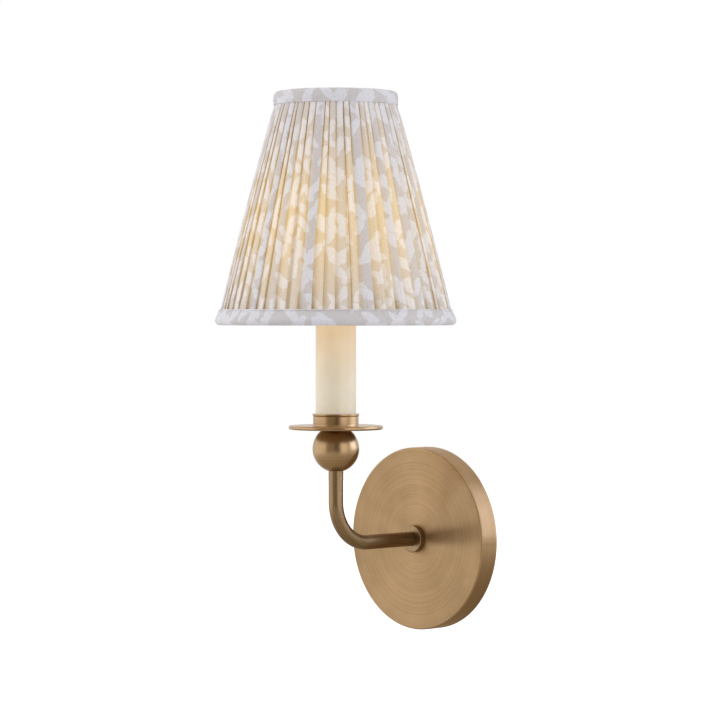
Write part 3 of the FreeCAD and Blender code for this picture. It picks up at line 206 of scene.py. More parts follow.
def rubbed_brass():
    """Aged brass with lines along the arm: noise drawn fine from side to side and long up and outward."""
    material, tree, shader = finish_of("aged_brass_rubbed_lengthwise", [
        ("Metallic", 1.0), ("Roughness", ARM_ROUGHNESS)])
    place = add(tree, "ShaderNodeTexCoord").outputs["Object"]
    drawn = add(tree, "ShaderNodeMapping", [("Vector", place), ("Scale", (
        1 / (RUBBED_LINE_MM * MM), 1 / (RUBBED_LENGTH_MM * MM), 1 / (RUBBED_LENGTH_MM * MM)))])
    rubbed = add(tree, "ShaderNodeTexNoise", [("Vector", drawn.outputs[0]), ("Scale", 1.0), ("Detail", 4.0)])
    tone = add(tree, "ShaderNodeMapRange", [
        ("Value", rubbed.outputs["Fac"]), ("From Min", WORN_FROM), ("From Max", WORN_FULLY)])
    colour = add(tree, "ShaderNodeMix", [
        ("Factor", tone.outputs[0]), (A_COLOUR, linear(ARM_BRASS[0])), (B_COLOUR, linear(ARM_BRASS[1]))],
        data_type="RGBA")
    tree.links.new(colour.outputs[BLENDED], shader.inputs["Base Color"])
    relief = add(tree, "ShaderNodeBump", [
        ("Height", rubbed.outputs["Fac"]), ("Distance", LINE_RELIEF_MM * MM), ("Strength", 0.6)])
    tree.links.new(relief.outputs[0], shader.inputs["Normal"])
    return material


dress(rubbed_brass(), "arm_tube", "arm_collar")


# Ball, drip pan, cup and stem: turned from brass bar and disc on a lathe, so the buffing lines run round
# the candle's axis. They are polished a little finer than the plate.
TURNED_BRASS = ("#a88b68", "#b39671")
TURNED_ROUGHNESS = 0.3

# The candle's axis stands under the middle of the shade.
ring_low, ring_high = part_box("shade_top_ring")
CANDLE = (0, (ring_low.y + ring_high.y) / 2, 0)

turned_brass = aged_brass(
    "aged_brass_turned_about_the_candle", TURNED_BRASS, centre=CANDLE, axis="Z",
    roughness=TURNED_ROUGHNESS, anisotropy=0.3)
dress(turned_brass, "stem_ball", "drip_pan", "candle_cup", "stem_nipple")


# Candle sleeve: moulded cream plastic with a satin skin, slightly dimpled by the mould. Light sinks into it
# a little. The bulb's light on its upper end is painted as a warm glow, which fades further down.
SLEEVE_CREAM = ("#f3ebd7", "#ede3ce")
SLEEVE_PAINTED_LIGHT = "#ffc57b"
SLEEVE_PAINTED_GLOW = 0.18
SLEEVE_PAINTED_GLOW_FALL = 48 * MM

shade_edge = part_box("shade_bottom_band")[0].z


def cream_with_painted_glow():
    """Cream plastic with a painted glow for the bulb's light: none where the glow ends, rising smoothly to
    the shade's edge.
    """
    material = clouded("cream_moulded_plastic_painted_glow", SLEEVE_CREAM, patch_mm=20, relief_mm=0.05, sockets=[
        ("Roughness", 0.42), ("IOR", 1.49), ("Subsurface Weight", 0.15),
        ("Subsurface Radius", (1.0, 0.7, 0.4)), ("Subsurface Scale", 1.5 * MM),
        ("Emission Color", linear(SLEEVE_PAINTED_LIGHT))])
    tree = material.node_tree
    place = add(tree, "ShaderNodeTexCoord").outputs["Object"]
    height = add(tree, "ShaderNodeSeparateXYZ", [("Vector", place)]).outputs["Z"]
    glow = add(tree, "ShaderNodeMapRange", [
        ("Value", height), ("From Min", shade_edge - SLEEVE_PAINTED_GLOW_FALL), ("From Max", shade_edge),
        ("To Max", SLEEVE_PAINTED_GLOW)], interpolation_type="SMOOTHSTEP")
    tree.links.new(glow.outputs[0], tree.nodes["Principled BSDF"].inputs["Emission Strength"])
    return material


dress(cream_with_painted_glow(), "candle_sleeve")


# Lampholder: a black phenolic moulding, hard and half glossy, with a stamped brass screw shell and contact
# inside it, still bright. The bulb's insulator and the tube's liner are the same black plastic.
phenolic = clouded(
    "black_phenolic", ("#15130f", "#2a241c"), patch_mm=3, relief_mm=0.01,
    sockets=[("Roughness", 0.3), ("IOR", 1.55)])
dress(phenolic, "lampholder_body", "bulb_insulator", "arm_bushing")
stamped = clouded(
    "stamped_brass", ("#d0aa62", "#b99452"), patch_mm=4, relief_mm=0.02,
    sockets=[("Metallic", 1.0), ("Roughness", 0.28)])
dress(stamped, "lampholder_shell", "lampholder_contact")


# Leads: stranded copper in extruded plastic with a soft sheen, black to the live terminal, white to the
# neutral one and green to the plate, with an orange moulded connector cap on each end.
LEAD_GRAIN_MM = 0.5

for name, node, colours in (
    ("black_insulation", "live_lead", ("#1b1b1c", "#262627")),
    ("white_insulation", "neutral_lead", ("#dedcd6", "#cfccc5")),
    ("green_insulation", "earth_lead", ("#2c7a3e", "#246633")),
    ("orange_moulded_cap", "wire_connectors", ("#d2691e", "#bb5a17")),
):
    dress(clouded(
        name, colours, patch_mm=LEAD_GRAIN_MM, relief_mm=0.02,
        sockets=[("Roughness", 0.48), ("IOR", 1.53)]), node)


# Bulb: a candle-shaped envelope of soft white glass, lit, so it is brightest round the filaments and
# yellower towards its neck and tip. Its cap is nickel plated. A small lamp just outside the glass gives the
# light that falls on the lining and the sleeve.
WHITE_GLASS = "#928c80"
LIT_CORE = "#fff0cf"
LIT_EDGE = "#ffcf85"
BULB_STRENGTH = 0.7
FILAMENT_STRENGTH = 2.0
BULB_POWER = 0.13
BULB_LIGHT_CLEAR = 4 * MM

filaments_low, filaments_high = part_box("bulb_filaments")
glass_low, glass_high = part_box("bulb_glass")
filament_middle = (filaments_low.z + filaments_high.z) / 2


def lit_glass():
    """White glass that gives off light: pale level with the filaments, yellower above and below them."""
    material, tree, shader = finish_of("soft_white_glass", [
        ("Base Color", linear(WHITE_GLASS)), ("Roughness", 0.25), ("IOR", 1.5), ("Coat Weight", 0.5),
        ("Emission Strength", BULB_STRENGTH)])
    place = add(tree, "ShaderNodeTexCoord").outputs["Object"]
    height = add(tree, "ShaderNodeSeparateXYZ", [("Vector", place)]).outputs["Z"]
    above = add(tree, "ShaderNodeMath", [(0, height), (1, filament_middle)], operation="SUBTRACT")
    away = add(tree, "ShaderNodeMath", [(0, above.outputs[0])], operation="ABSOLUTE")
    share = add(tree, "ShaderNodeMapRange", [
        ("Value", away.outputs[0]), ("From Max", (glass_high.z - glass_low.z) / 2)])
    glow = add(tree, "ShaderNodeMix", [
        ("Factor", share.outputs[0]), (A_COLOUR, linear(LIT_CORE)), (B_COLOUR, linear(LIT_EDGE))],
        data_type="RGBA")
    tree.links.new(glow.outputs[BLENDED], shader.inputs["Emission Color"])
    return material


dress(lit_glass(), "bulb_glass")
shine = bpy.data.lights.new("bulb_light", "POINT")
shine.shadow_soft_size = (glass_high.x - glass_low.x) / 2 + BULB_LIGHT_CLEAR
shine.energy = BULB_POWER
shine.color = linear(LIT_EDGE)[:3]
bulb_light = bpy.data.objects.new("bulb_light", shine)
bulb_light.location = (CANDLE[0], CANDLE[1], filament_middle)
bulb_light.visible_glossy = False
bpy.context.scene.collection.objects.link(bulb_light)

clear_glass = clouded(
    "clear_glass_stem", ("#ffffff", "#f4f8f6"), patch_mm=5, relief_mm=0.1,
    sockets=[("Roughness", 0.05), ("IOR", 1.5), ("Transmission Weight", 1.0)])
dress(clear_glass, "bulb_glass_stem")
phosphor = clouded(
    "phosphor_coat", ("#f0c45a", "#e6b64a"), patch_mm=1.1, relief_mm=0.02,
    sockets=[
        ("Roughness", 0.6), ("Emission Color", linear(LIT_EDGE)), ("Emission Strength", FILAMENT_STRENGTH)])
dress(phosphor, "bulb_filaments")
nickel = clouded(
    "nickel_plated_brass", ("#cfcbc2", "#b7b2a8"), patch_mm=3.3, relief_mm=0.01,
    sockets=[("Metallic", 1.0), ("Roughness", 0.22)])
dress(nickel, "bulb_cap", "bulb_tip_contact", "bulb_filament_holders")


# Shade frame: rings and ribs of white powder-coated wire, slightly pebbled by the coating, and a spring
# clip of brass-plated wire that grips the bulb.
RIBS = [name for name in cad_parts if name.startswith("shade_rib_")]

coated = clouded(
    "white_powder_coat", ("#d9d5ca", "#e9e6de"), patch_mm=0.8, relief_mm=0.05,
    sockets=[("Roughness", 0.45)])
dress(coated, "shade_top_ring", "shade_bottom_ring", *RIBS)
sprung = clouded(
    "brass_plated_wire", ("#cdb07a", "#b59866"), patch_mm=4.5, relief_mm=0.01,
    sockets=[("Metallic", 1.0), ("Roughness", 0.25)])
dress(sprung, "clip_crossbar", "clip_loop_left", "clip_loop_right")


# Lining: thin plain-woven cloth, cut as a cone, stretched inside the ribs and sewn to both rings. The bulb's
# light on it is painted as a glow, brightest level with the filaments.
LINING_IVORY = ("#c2b393", "#cdc1a4")
LINING_PAINTED_LIGHT = "#ffdc9e"
LINING_PAINTED_GLOW = 0.45
# The real threads are 0.3 mm apart, too fine to show, so their unevenness is drawn 0.9 mm wide. They run
# aslant, because the strips are cut on the bias.
THREAD_MM = 0.9
SLUB_MM = 2.4
BIAS = math.radians(38)
# The threads' height is two noises added, and lies mostly between these values.
THREADS_LOW, THREADS_HIGH = 0.7, 1.3
AROUND = 2 * math.pi
ROUND_STEPS = 240
LINING_ROWS = 40
LINING_INSET = 5.3 * MM
# How far the stretched cloth sinks between the ribs.
RIB_PULL = 0.25 * MM
BULB_POINTS = 9

lining_low, lining_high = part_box("shade_lining")
top_band_low, top_band_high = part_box("shade_top_band")
bottom_band_low, bottom_band_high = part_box("shade_bottom_band")
lining_base = (lining_high.x - lining_low.x) / 2
shade_top = (top_band_high.x - top_band_low.x) / 2
shade_base = (bottom_band_high.x - bottom_band_low.x) / 2
lining_top = shade_top - LINING_INSET
edge_height = top_band_low.z


def cloth_grid(name, x, y, z, flat_u, flat_v, slot, material, **attributes):
    """A sheet of cloth, closed round, from arrays of rows by columns, with UVs in metres on the flat cloth.

    The flat cloth's coordinates have one more column, because its two ends meet in a seam there. Each
    attribute is one number a point. Faces look outward where the rows run upward.
    """
    rows, columns = x.shape
    points = np.stack((x, y, z), axis=-1).reshape(-1, 3)
    row, column = np.mgrid[0:rows - 1, 0:columns]
    following = (column + 1) % columns
    corners = ((row, column), (row, following), (row + 1, following), (row + 1, column))
    faces = np.stack([r * columns + c for r, c in corners], axis=-1).reshape(-1, 4)
    uv_corners = ((row, column), (row, column + 1), (row + 1, column + 1), (row + 1, column))
    uvs = np.stack([np.stack((flat_u[r, c], flat_v[r, c]), axis=-1) for r, c in uv_corners], axis=-2)
    mesh = bpy.data.meshes.new(name)
    mesh.from_pydata(points.tolist(), [], faces.tolist())
    mesh.uv_layers.new(name="cloth").data.foreach_set("uv", uvs.astype(np.float32).ravel())
    for attribute, numbers in attributes.items():
        layer = mesh.attributes.new(attribute, "FLOAT", "POINT")
        layer.data.foreach_set("value", numbers.astype(np.float32).ravel())
    mesh.polygons.foreach_set("use_smooth", np.ones(len(faces), dtype=bool))
    mesh.materials.append(material)
    piece = bpy.data.objects.new(name, mesh)
    bpy.context.scene.collection.objects.link(piece)
    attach(piece, "shade")
    return piece


def about_candle(reach, angle):
    """Places about the candle's axis: reach times the cosine and the sine of the angle."""
    return CANDLE[0] + reach * np.cos(angle), CANDLE[1] + reach * np.sin(angle)


def run_along(x, y):
    """Distances along each row of points, from its first."""
    steps = np.hypot(np.diff(x), np.diff(y))
    return np.concatenate((np.zeros((x.shape[0], 1)), np.cumsum(steps, axis=1)), axis=1)


def run_down(radius, height):
    """Distances along a profile, which is one column of radii and one of heights, from its first point."""
    return run_along(radius.T, height.T).T


def light_inside(radius, height):
    """How strongly the bulb lights the cone of cloth, 1 at most.

    Each of a row of points up the bulb gives light over distance squared, times the cosine of the angle at
    which it meets the cone.
    """
    slope = math.atan2(shade_base - shade_top, edge_height - bottom_band_high.z)
    light = 0
    for point in np.linspace(glass_low.z, filaments_high.z, BULB_POINTS):
        up = height - point
        away = np.hypot(radius, up)
        facing = (radius * math.cos(slope) + up * math.sin(slope)) / away
        light = light + np.clip(facing, 0, None) / away**2
    return light / light.max()


def threads(tree, shader, relief_mm):
    """Uneven threads both ways on the cloth's UVs, as relief. Their height is given back, 1 on average."""
    cloth = add(tree, "ShaderNodeUVMap", uv_map="cloth").outputs[0]
    turned = add(tree, "ShaderNodeVectorRotate", [
        ("Vector", cloth), ("Angle", BIAS)], rotation_type="Z_AXIS")
    ways = []
    for across, along in ((THREAD_MM, SLUB_MM), (SLUB_MM, THREAD_MM)):
        drawn = add(tree, "ShaderNodeMapping", [
            ("Vector", turned.outputs[0]), ("Scale", (1 / (across * MM), 1 / (along * MM), 1))])
        ways.append(add(tree, "ShaderNodeTexNoise", [
            ("Vector", drawn.outputs[0]), ("Scale", 1.0), ("Detail", 2.0)], noise_dimensions="2D"))
    height = add(tree, "ShaderNodeMath", [
        (0, ways[0].outputs["Fac"]), (1, ways[1].outputs["Fac"])], operation="ADD")
    relief = add(tree, "ShaderNodeBump", [
        ("Height", height.outputs[0]), ("Distance", relief_mm * MM), ("Strength", 0.6)])
    tree.links.new(relief.outputs[0], shader.inputs["Normal"])
    return height.outputs[0]


def lining_weave():
    """Thin ivory cloth, paler on its thicker threads, with a painted glow: it gives off light by its
    attribute glow, for the bulb's light on it.
    """
    material, tree, shader = finish_of("thin_lining_cloth", [
        ("Roughness", 0.85), ("Emission Color", linear(LINING_PAINTED_LIGHT))])
    tone = add(tree, "ShaderNodeMapRange", [
        ("Value", threads(tree, shader, 0.08)), ("From Min", THREADS_LOW), ("From Max", THREADS_HIGH)])
    colour = add(tree, "ShaderNodeMix", [
        ("Factor", tone.outputs[0]), (A_COLOUR, linear(LINING_IVORY[0])),
        (B_COLOUR, linear(LINING_IVORY[1]))], data_type="RGBA")
    tree.links.new(colour.outputs[BLENDED], shader.inputs["Base Color"])
    glow = add(tree, "ShaderNodeAttribute", attribute_name="glow").outputs["Fac"]
    strength = add(tree, "ShaderNodeMath", [(0, glow), (1, LINING_PAINTED_GLOW)], operation="MULTIPLY")
    tree.links.new(strength.outputs[0], shader.inputs["Emission Strength"])
    return material


drop = np.linspace(0, 1, LINING_ROWS)[:, None]
turn = np.linspace(0, AROUND, ROUND_STEPS + 1)[None, :]
height = lining_high.z + (lining_low.z - lining_high.z) * drop
radius = lining_top + (lining_base - lining_top) * np.clip(
    (edge_height - height) / (edge_height - lining_low.z), 0, 1)
pulled = radius + RIB_PULL * (np.sin(len(RIBS) * turn[:, :-1]) * np.sin(math.pi * drop) - 1)
slant = run_down(radius, height)
lining = cloth_grid(
    "lining_sheet", *about_candle(pulled, turn[:, :-1]), height + 0 * pulled, radius * turn,
    slant + 0 * turn, "lining_cloth", lining_weave(), glow=light_inside(radius, height) + 0 * pulled)
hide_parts("shade_lining")


# Pleated cover: a straight strip of printed linen, folded by hand into uneven knife and box pleats that
# close up at the top ring and open into wedges at the bottom ring. Folds three layers thick stay grey, and
# so does the seam at the back; thinner cloth lets the bulb's light through, which is painted as a warm tint
# and a glow. Slits between the folds take painted shade, a dark gold.
PLEATS = 58
COVER_ROWS = 40
CLIMB_COLUMNS = 10
UNDER_TOP_BAND, UNDER_BOTTOM_BAND = 0.6 * MM, 2.1 * MM
PINCH, PINCH_REACH = 0.8 * MM, 4 * MM
BELLY = 0.8 * MM
# How uneven the steps between pleats are at the top and at the base, which has some of its own besides, and
# how much of its step a face fills at the top.
TOP_UNEVEN, BASE_UNEVEN, BASE_STRAY = 0.55, 0.45, 0.25
FACE_SHARE = 0.84
PLEAT_DEPTH = 1.1 * MM
PLEAT_CROWN = 0.28 * MM
PLEAT_TILT = 0.3 * MM
PLEAT_SWAY = 0.45 * MM
EDGE_DROP = 0.1 * MM
TUCK_LEAST = 0.5 * MM
CREASE = 0.12 * MM
SLIT = 0.6 * MM
RIPPLE = 0.45 * MM
# A pleat is a knife pleat where its own uneven number is above this one, which most are.
KNIFE_FROM = -0.55
# Shares of the bulb's light, painted as a glow, that get through three layers, one layer, and a fold's wall,
# seen edge on.
OPAQUE, SHEER, WALL = 0.1, 0.64, 0.9
# How much of a slit's painted shade, a dark gold, a wedge's floor takes, how much of it the slits lose
# towards the base, and how far from the top and the bottom band the folds are still shut and take more of
# that painted shade.
IN_WEDGE = 0.2
OPENS = 0.6
SHUT_SHADE_BELOW_TOP, SHUT_SHADE_ABOVE_BASE = 18 * MM, 9 * MM
# The seam is turned away from the camera. Its extra cloth takes half the light there.
SEAM = math.radians(130)
SEAM_DIMS = 0.5
# The print's two colours, and what they are multiplied by where the cloth is lit, a painted warmth, and in a
# slit, a painted shade.
GROUND, MOTIF = "#d2cccd", "#e2e0e6"
LIT_PAINTED_TINT, SLIT_PAINTED_SHADE = "#e8e2d4", "#9c8247"
# Cloth with this glow or more has its full painted lit tint.
LIT_FULLY = 0.6
# The painted light, an emission, that comes through the print's two colours, and out of a slit.
THROUGH_GROUND, THROUGH_MOTIF = "#ffd15e", "#ffe4bc"
THROUGH_SLIT = "#ffcd68"
GLOW_STRENGTH = 0.64
GRAIN_DARK, GRAIN_PALE = 0.92, 1.05
# The print's dabs: their size, where their edge lies and how soft it is, how far noise moves them, and the
# two ways that they slant, in degrees.
DAB_WIDTH_MM = 11
DAB_LENGTH_MM = 27
DAB_EDGE, DAB_SOFTNESS = 0.33, 0.05
DAB_STRAY = 9 * MM
DAB_SLANTS = (33, -48)

cover_low, cover_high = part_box("pleated_cover")
pleats_top = shade_top - UNDER_TOP_BAND
pleats_base = shade_base - UNDER_BOTTOM_BAND


def wobble(index, phase):
    """A number from -1 to 1 for each pleat, uneven but never drifting: two sines of its index.

    Each use has a phase of its own, so widths, tucks, tilts and slits don't follow one another.
    """
    return (np.sin(2.4 * index + phase) + 0.6 * np.sin(5.1 * index + 1 + 2 * phase)) / 1.6


def cover_radius(height):
    """The cover's outer radius: pinched under the top band, then a cone with a slight belly."""
    down = edge_height - height
    fall = np.clip(down / (edge_height - cover_low.z), 0, 1)
    cone = pleats_top + (pleats_base - pleats_top) * fall + 4 * BELLY * fall * (1 - fall)
    return cone - PINCH * np.exp(-np.clip(down, 0, None) / PINCH_REACH)


def pleat_faces(index, radius, fall):
    """Each face's left edge and width, and the next face's left edge, as distances round the cone.

    The step from one pleat to the next is e to an uneven power, and all steps together are one turn. The
    top has one set of steps and the base another, and a face's middle moves evenly from one to the other.
    A face keeps about its width at the top, so the wedge beside it opens downward, and it sways by a sine.
    """
    uneven = wobble(index, 0.0)
    steps = (np.exp(TOP_UNEVEN * uneven), np.exp(BASE_UNEVEN * uneven + BASE_STRAY * wobble(index, 1.3)))
    starts = [AROUND * np.concatenate(([0], np.cumsum(step))) / step.sum() for step in steps]
    middles = [start[:-1] + np.diff(start) / 2 for start in starts]
    middle = middles[0] + (middles[1] - middles[0]) * fall
    face = np.diff(starts[0]) * pleats_top * FACE_SHARE * (1 + 0.3 * fall * wobble(index, 3.0))
    sway = PLEAT_SWAY * fall * np.sin(AROUND * (1.1 * fall + 0.37 * index)) * np.sin(math.pi * fall)
    left = middle * radius - face / 2 + sway
    next_left = np.concatenate((left[:, 1:], left[:, :1] + AROUND * radius), axis=1)
    return left, face, next_left


def folded_cover():
    """Places, flat coordinates, glow and slit share of the folded strip.

    At its right edge a face folds under by a tuck, comes back and crosses the wedge to the next face one
    depth lower. There it folds under again, or, at a knife pleat, it climbs softly to the next face. A
    column is one place in that fold: its distance round the cone, how proud it is, how much light the cloth
    there lets through, painted as a glow, and how far it lies in a slit, which takes painted shade. Slits
    fade down the cone as the wedges open, and the bottom band shuts some of them again, by e to the power of
    minus the height above it over its reach; below the top band they take more painted shade too.
    """
    index = np.arange(PLEATS)
    height = np.linspace(cover_low.z, cover_high.z, COVER_ROWS)[:, None]
    radius = cover_radius(height)
    fall = np.clip((edge_height - height) / (edge_height - cover_low.z), 0, 1)
    left, face, next_left = pleat_faces(index, radius, fall)
    right = left + face
    wedge = next_left - right
    tuck = np.clip((0.38 + 0.1 * wobble(index, 2.2)) * face - 0.2 * wedge, TUCK_LEAST, None)
    next_tuck = np.roll(tuck, -1, axis=1)
    tilt = PLEAT_TILT * wobble(index, 0.7)
    knife = wobble(index, 5.3) > KNIFE_FROM
    deep, middling = -PLEAT_DEPTH, -PLEAT_DEPTH / 2
    slit = np.minimum(SLIT, 0.35 * wedge) * np.clip(0.6 + 0.9 * wobble(index, 1.9), 0.15, 1)
    ripple = np.minimum(RIPPLE, 0.1 * wedge)

    # Painted light: how much of the bulb's light each part of a fold lets through, shown as a glow.
    sheer = OPAQUE + (SHEER - OPAQUE) * np.clip(
        0.75 - 0.6 * wobble(index, 0.0) + 0.9 * wobble(index, 2.6) + 0.25 * (fall - 0.5), 0, 1)
    folded = OPAQUE + 0.55 * (sheer - OPAQUE)
    first = np.where(knife, sheer, folded)
    # Painted shade: above the bottom band and below the top band, slits and wedges take more of the dark
    # gold.
    shut = np.exp(-np.clip(height - bottom_band_high.z, 0, None) / SHUT_SHADE_ABOVE_BASE) * np.clip(
        0.4 + 1.2 * wobble(index, 0.9), 0, 1)
    closed = np.clip(1 - OPENS * fall + shut, 0, 1)
    slit_side = np.clip(2 * wobble(index, 4.1), 0, 1) * closed
    other_side = np.clip(2 * wobble(index, 5.3), 0, 1) * closed
    gathered_shade = np.exp(-np.clip(edge_height - height, 0, None) / SHUT_SHADE_BELOW_TOP)
    shaded = np.clip(IN_WEDGE + shut + gathered_shade, 0, 1)

    waves = [deep + ripple * np.sin(AROUND * (0.31 * index + fall) + shift) for shift in (0, 2, 4)]
    columns = [
        # The face, crowned and a little tilted.
        (left, tilt - EDGE_DROP, first, 0),
        (left + 0.1 * face, 0.6 * PLEAT_CROWN + 0.8 * tilt, first, 0),
        (left + tuck - CREASE, 0.9 * PLEAT_CROWN + 0.4 * tilt, first, 0),
        (left + tuck + CREASE, PLEAT_CROWN + 0.3 * tilt, sheer, 0),
        (left + 0.5 * face, PLEAT_CROWN, sheer, 0),
        (right - tuck - CREASE, PLEAT_CROWN - 0.3 * tilt, sheer, 0),
        (right - tuck + CREASE, 0.9 * PLEAT_CROWN - 0.4 * tilt, folded, 0),
        (right - 0.1 * face, 0.6 * PLEAT_CROWN - 0.8 * tilt, folded, 0),
        (right, -tilt - EDGE_DROP, folded, 0),
        # Its right edge, folded under and back.
        (right + CREASE, 0.5 * middling, WALL, 0.5 * closed),
        (right - CREASE, middling, WALL, closed),
        (right - tuck, middling, OPAQUE, 0),
        (right - tuck - CREASE, 1.5 * middling, OPAQUE, 0),
        (right - tuck, deep, OPAQUE, 0),
        # The wedge, with a slit on either side.
        (right - CREASE, deep, SHEER, slit_side),
        (right + CREASE, deep, SHEER, slit_side),
        (right + slit, deep, SHEER, slit_side),
        (right + slit + CREASE, deep, 0.9 * SHEER, shaded),
        (right + 0.4 * wedge, waves[0], 0.7 * SHEER, shaded),
        (right + 0.6 * wedge, waves[1], SHEER, shaded),
        (right + 0.8 * wedge, waves[2], 0.8 * SHEER, shaded),
        (next_left - CREASE, deep, SHEER, other_side),
        (next_left + CREASE, deep, SHEER, other_side),
        # The next face's left edge, folded under and back.
        (next_left + next_tuck, deep, OPAQUE, 0),
        (next_left + next_tuck + CREASE, 1.5 * middling, OPAQUE, 0),
        (next_left + next_tuck, middling, OPAQUE, 0),
        (next_left + CREASE, middling, WALL, closed),
        (next_left - CREASE, 0.5 * middling, WALL, 0.5 * closed),
    ]
    blank = np.zeros((COVER_ROWS, PLEATS))
    fold = np.array([[part + blank for part in column] for column in columns])
    climb = np.linspace(0.3, 0.97, CLIMB_COLUMNS)[:, None, None]
    next_edge = np.roll(tilt, -1) - EDGE_DROP
    next_first = np.roll(first, -1, axis=1)
    rising = climb**2 * (3 - 2 * climb)
    softly = np.array([
        right + climb * wedge,
        deep + (next_edge - deep) * rising + blank,
        0.9 * SHEER + (next_first - 0.9 * SHEER) * climb + blank,
        shaded * (1 - climb) + blank])
    fold[-CLIMB_COLUMNS:] = np.where(np.roll(knife, -1), softly.swapaxes(0, 1), fold[-CLIMB_COLUMNS:])

    round_way, proud, through, in_slit = (
        fold[:, part].transpose(1, 2, 0).reshape(COVER_ROWS, -1) for part in range(4))
    from_seam = round_way / radius
    through = through * (1 - SEAM_DIMS * (1 + np.cos(from_seam)) / 2)
    x, y = about_candle(radius + proud, SEAM + from_seam)
    flat_u = run_along(np.concatenate((x, x[:, :1]), axis=1), np.concatenate((y, y[:, :1]), axis=1))
    flat_u = flat_u * flat_u[:, -1].mean() / flat_u[:, -1:]
    flat_v = run_down(radius, height) + 0 * flat_u
    return x, y, height + 0 * x, flat_u, flat_v, light_inside(radius, height) * through, in_slit


def printed_linen(name):
    """Linen with a generic print of pale dabs, slanted two ways, on warm grey.

    A dab is where a point, moved a little by noise, lies near one of many scattered middles, on axes turned
    and stretched to the dab's slant, width and length. Where the cloth lets light through, by its attribute
    glow, painted light makes it warmer and it gives off light. Where it lies in a slit, by its attribute
    slit, painted shade makes it a dark gold.
    """
    material, tree, shader = finish_of(name, [
        ("Roughness", 0.9), ("Sheen Weight", 0.2), ("Sheen Roughness", 0.5)])
    cloth = add(tree, "ShaderNodeUVMap", uv_map="cloth").outputs[0]
    stray = add(tree, "ShaderNodeTexNoise", [("Vector", cloth), ("Scale", 1 / (DAB_WIDTH_MM * MM))])
    uneven = add(tree, "ShaderNodeVectorMath", [
        (0, stray.outputs["Color"]), (1, (DAB_STRAY, DAB_STRAY, 0)), (2, cloth)], operation="MULTIPLY_ADD")
    dabs = []
    for slant in DAB_SLANTS:
        aslant = add(tree, "ShaderNodeVectorRotate", [
            ("Vector", uneven.outputs[0]), ("Angle", math.radians(slant))], rotation_type="Z_AXIS")
        drawn = add(tree, "ShaderNodeMapping", [
            ("Vector", aslant.outputs[0]),
            ("Scale", (1 / (DAB_WIDTH_MM * MM), 1 / (DAB_LENGTH_MM * MM), 1))])
        middles = add(tree, "ShaderNodeTexVoronoi", [("Vector", drawn.outputs[0]), ("Scale", 1.0)],
                      voronoi_dimensions="2D")
        dabs.append(add(tree, "ShaderNodeMapRange", [
            ("Value", middles.outputs["Distance"]), ("From Min", DAB_EDGE),
            ("From Max", DAB_EDGE - DAB_SOFTNESS)]))
    mask = add(tree, "ShaderNodeMath", [
        (0, dabs[0].outputs[0]), (1, dabs[1].outputs[0])], operation="MAXIMUM").outputs[0]
    printed = add(tree, "ShaderNodeMix", [
        ("Factor", mask), (A_COLOUR, linear(GROUND)), (B_COLOUR, linear(MOTIF))], data_type="RGBA")
    grain = add(tree, "ShaderNodeMapRange", [
        ("Value", threads(tree, shader, 0.12)), ("From Min", THREADS_LOW), ("From Max", THREADS_HIGH),
        ("To Min", GRAIN_DARK), ("To Max", GRAIN_PALE)])
    woven = add(tree, "ShaderNodeMix", [
        ("Factor", 1.0), (A_COLOUR, printed.outputs[BLENDED]), (B_COLOUR, grain.outputs[0])],
        data_type="RGBA", blend_type="MULTIPLY")
    glow = add(tree, "ShaderNodeAttribute", attribute_name="glow").outputs["Fac"]
    # Painted light: where the cloth is lit, its colour is multiplied by a warm tint.
    warmed = add(tree, "ShaderNodeMapRange", [("Value", glow), ("From Max", LIT_FULLY)])
    warm = add(tree, "ShaderNodeMix", [
        ("Factor", warmed.outputs[0]), (A_COLOUR, woven.outputs[BLENDED]), (B_COLOUR, linear(LIT_PAINTED_TINT))],
        data_type="RGBA", blend_type="MULTIPLY")
    # Painted shade: where the cloth lies in a slit, its colour is multiplied by a dark gold.
    in_slit = add(tree, "ShaderNodeAttribute", attribute_name="slit").outputs["Fac"]
    base = add(tree, "ShaderNodeMix", [
        ("Factor", in_slit), (A_COLOUR, warm.outputs[BLENDED]), (B_COLOUR, linear(SLIT_PAINTED_SHADE))],
        data_type="RGBA", blend_type="MULTIPLY")
    tree.links.new(base.outputs[BLENDED], shader.inputs["Base Color"])
    # Painted light: the emission that stands in for the bulb's light through the cloth.
    face_light = add(tree, "ShaderNodeMix", [
        ("Factor", mask), (A_COLOUR, linear(THROUGH_GROUND)), (B_COLOUR, linear(THROUGH_MOTIF))],
        data_type="RGBA")
    passed = add(tree, "ShaderNodeMix", [
        ("Factor", in_slit), (A_COLOUR, face_light.outputs[BLENDED]), (B_COLOUR, linear(THROUGH_SLIT))],
        data_type="RGBA")
    tree.links.new(passed.outputs[BLENDED], shader.inputs["Emission Color"])
    strength = add(tree, "ShaderNodeMath", [(0, glow), (1, GLOW_STRENGTH)], operation="MULTIPLY")
    tree.links.new(strength.outputs[0], shader.inputs["Emission Strength"])
    return material


x, y, z, flat_u, flat_v, glow, slit = folded_cover()
cover = cloth_grid(
    "pleated_cover_cloth", x, y, z, flat_u, flat_v, "pleated_cloth", printed_linen("pleated_printed_linen"),
    glow=glow, slit=slit)
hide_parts("pleated_cover")


# Bands: strips of the same linen, folded over both rings and glued, with a narrow turned hem along the
# edge that lies on the pleats. Several layers thick, they let no light through.
BAND_STEPS = 480
BAND_ROLL = 1.5 * MM
HEM = 1.3 * MM
HEM_PROUD = 0.22 * MM
PUCKER = 0.1 * MM
FLARE = 2.4 * MM
TOP_EDGE, TOP_EDGE_TALL = 3.1 * MM, 3.7 * MM
BASE_EDGE, BASE_EDGE_TALL = 3 * MM, 3.3 * MM
INSIDE_LINING_TOP, INSIDE_LINING_BASE = 1.6 * MM, 1.4 * MM


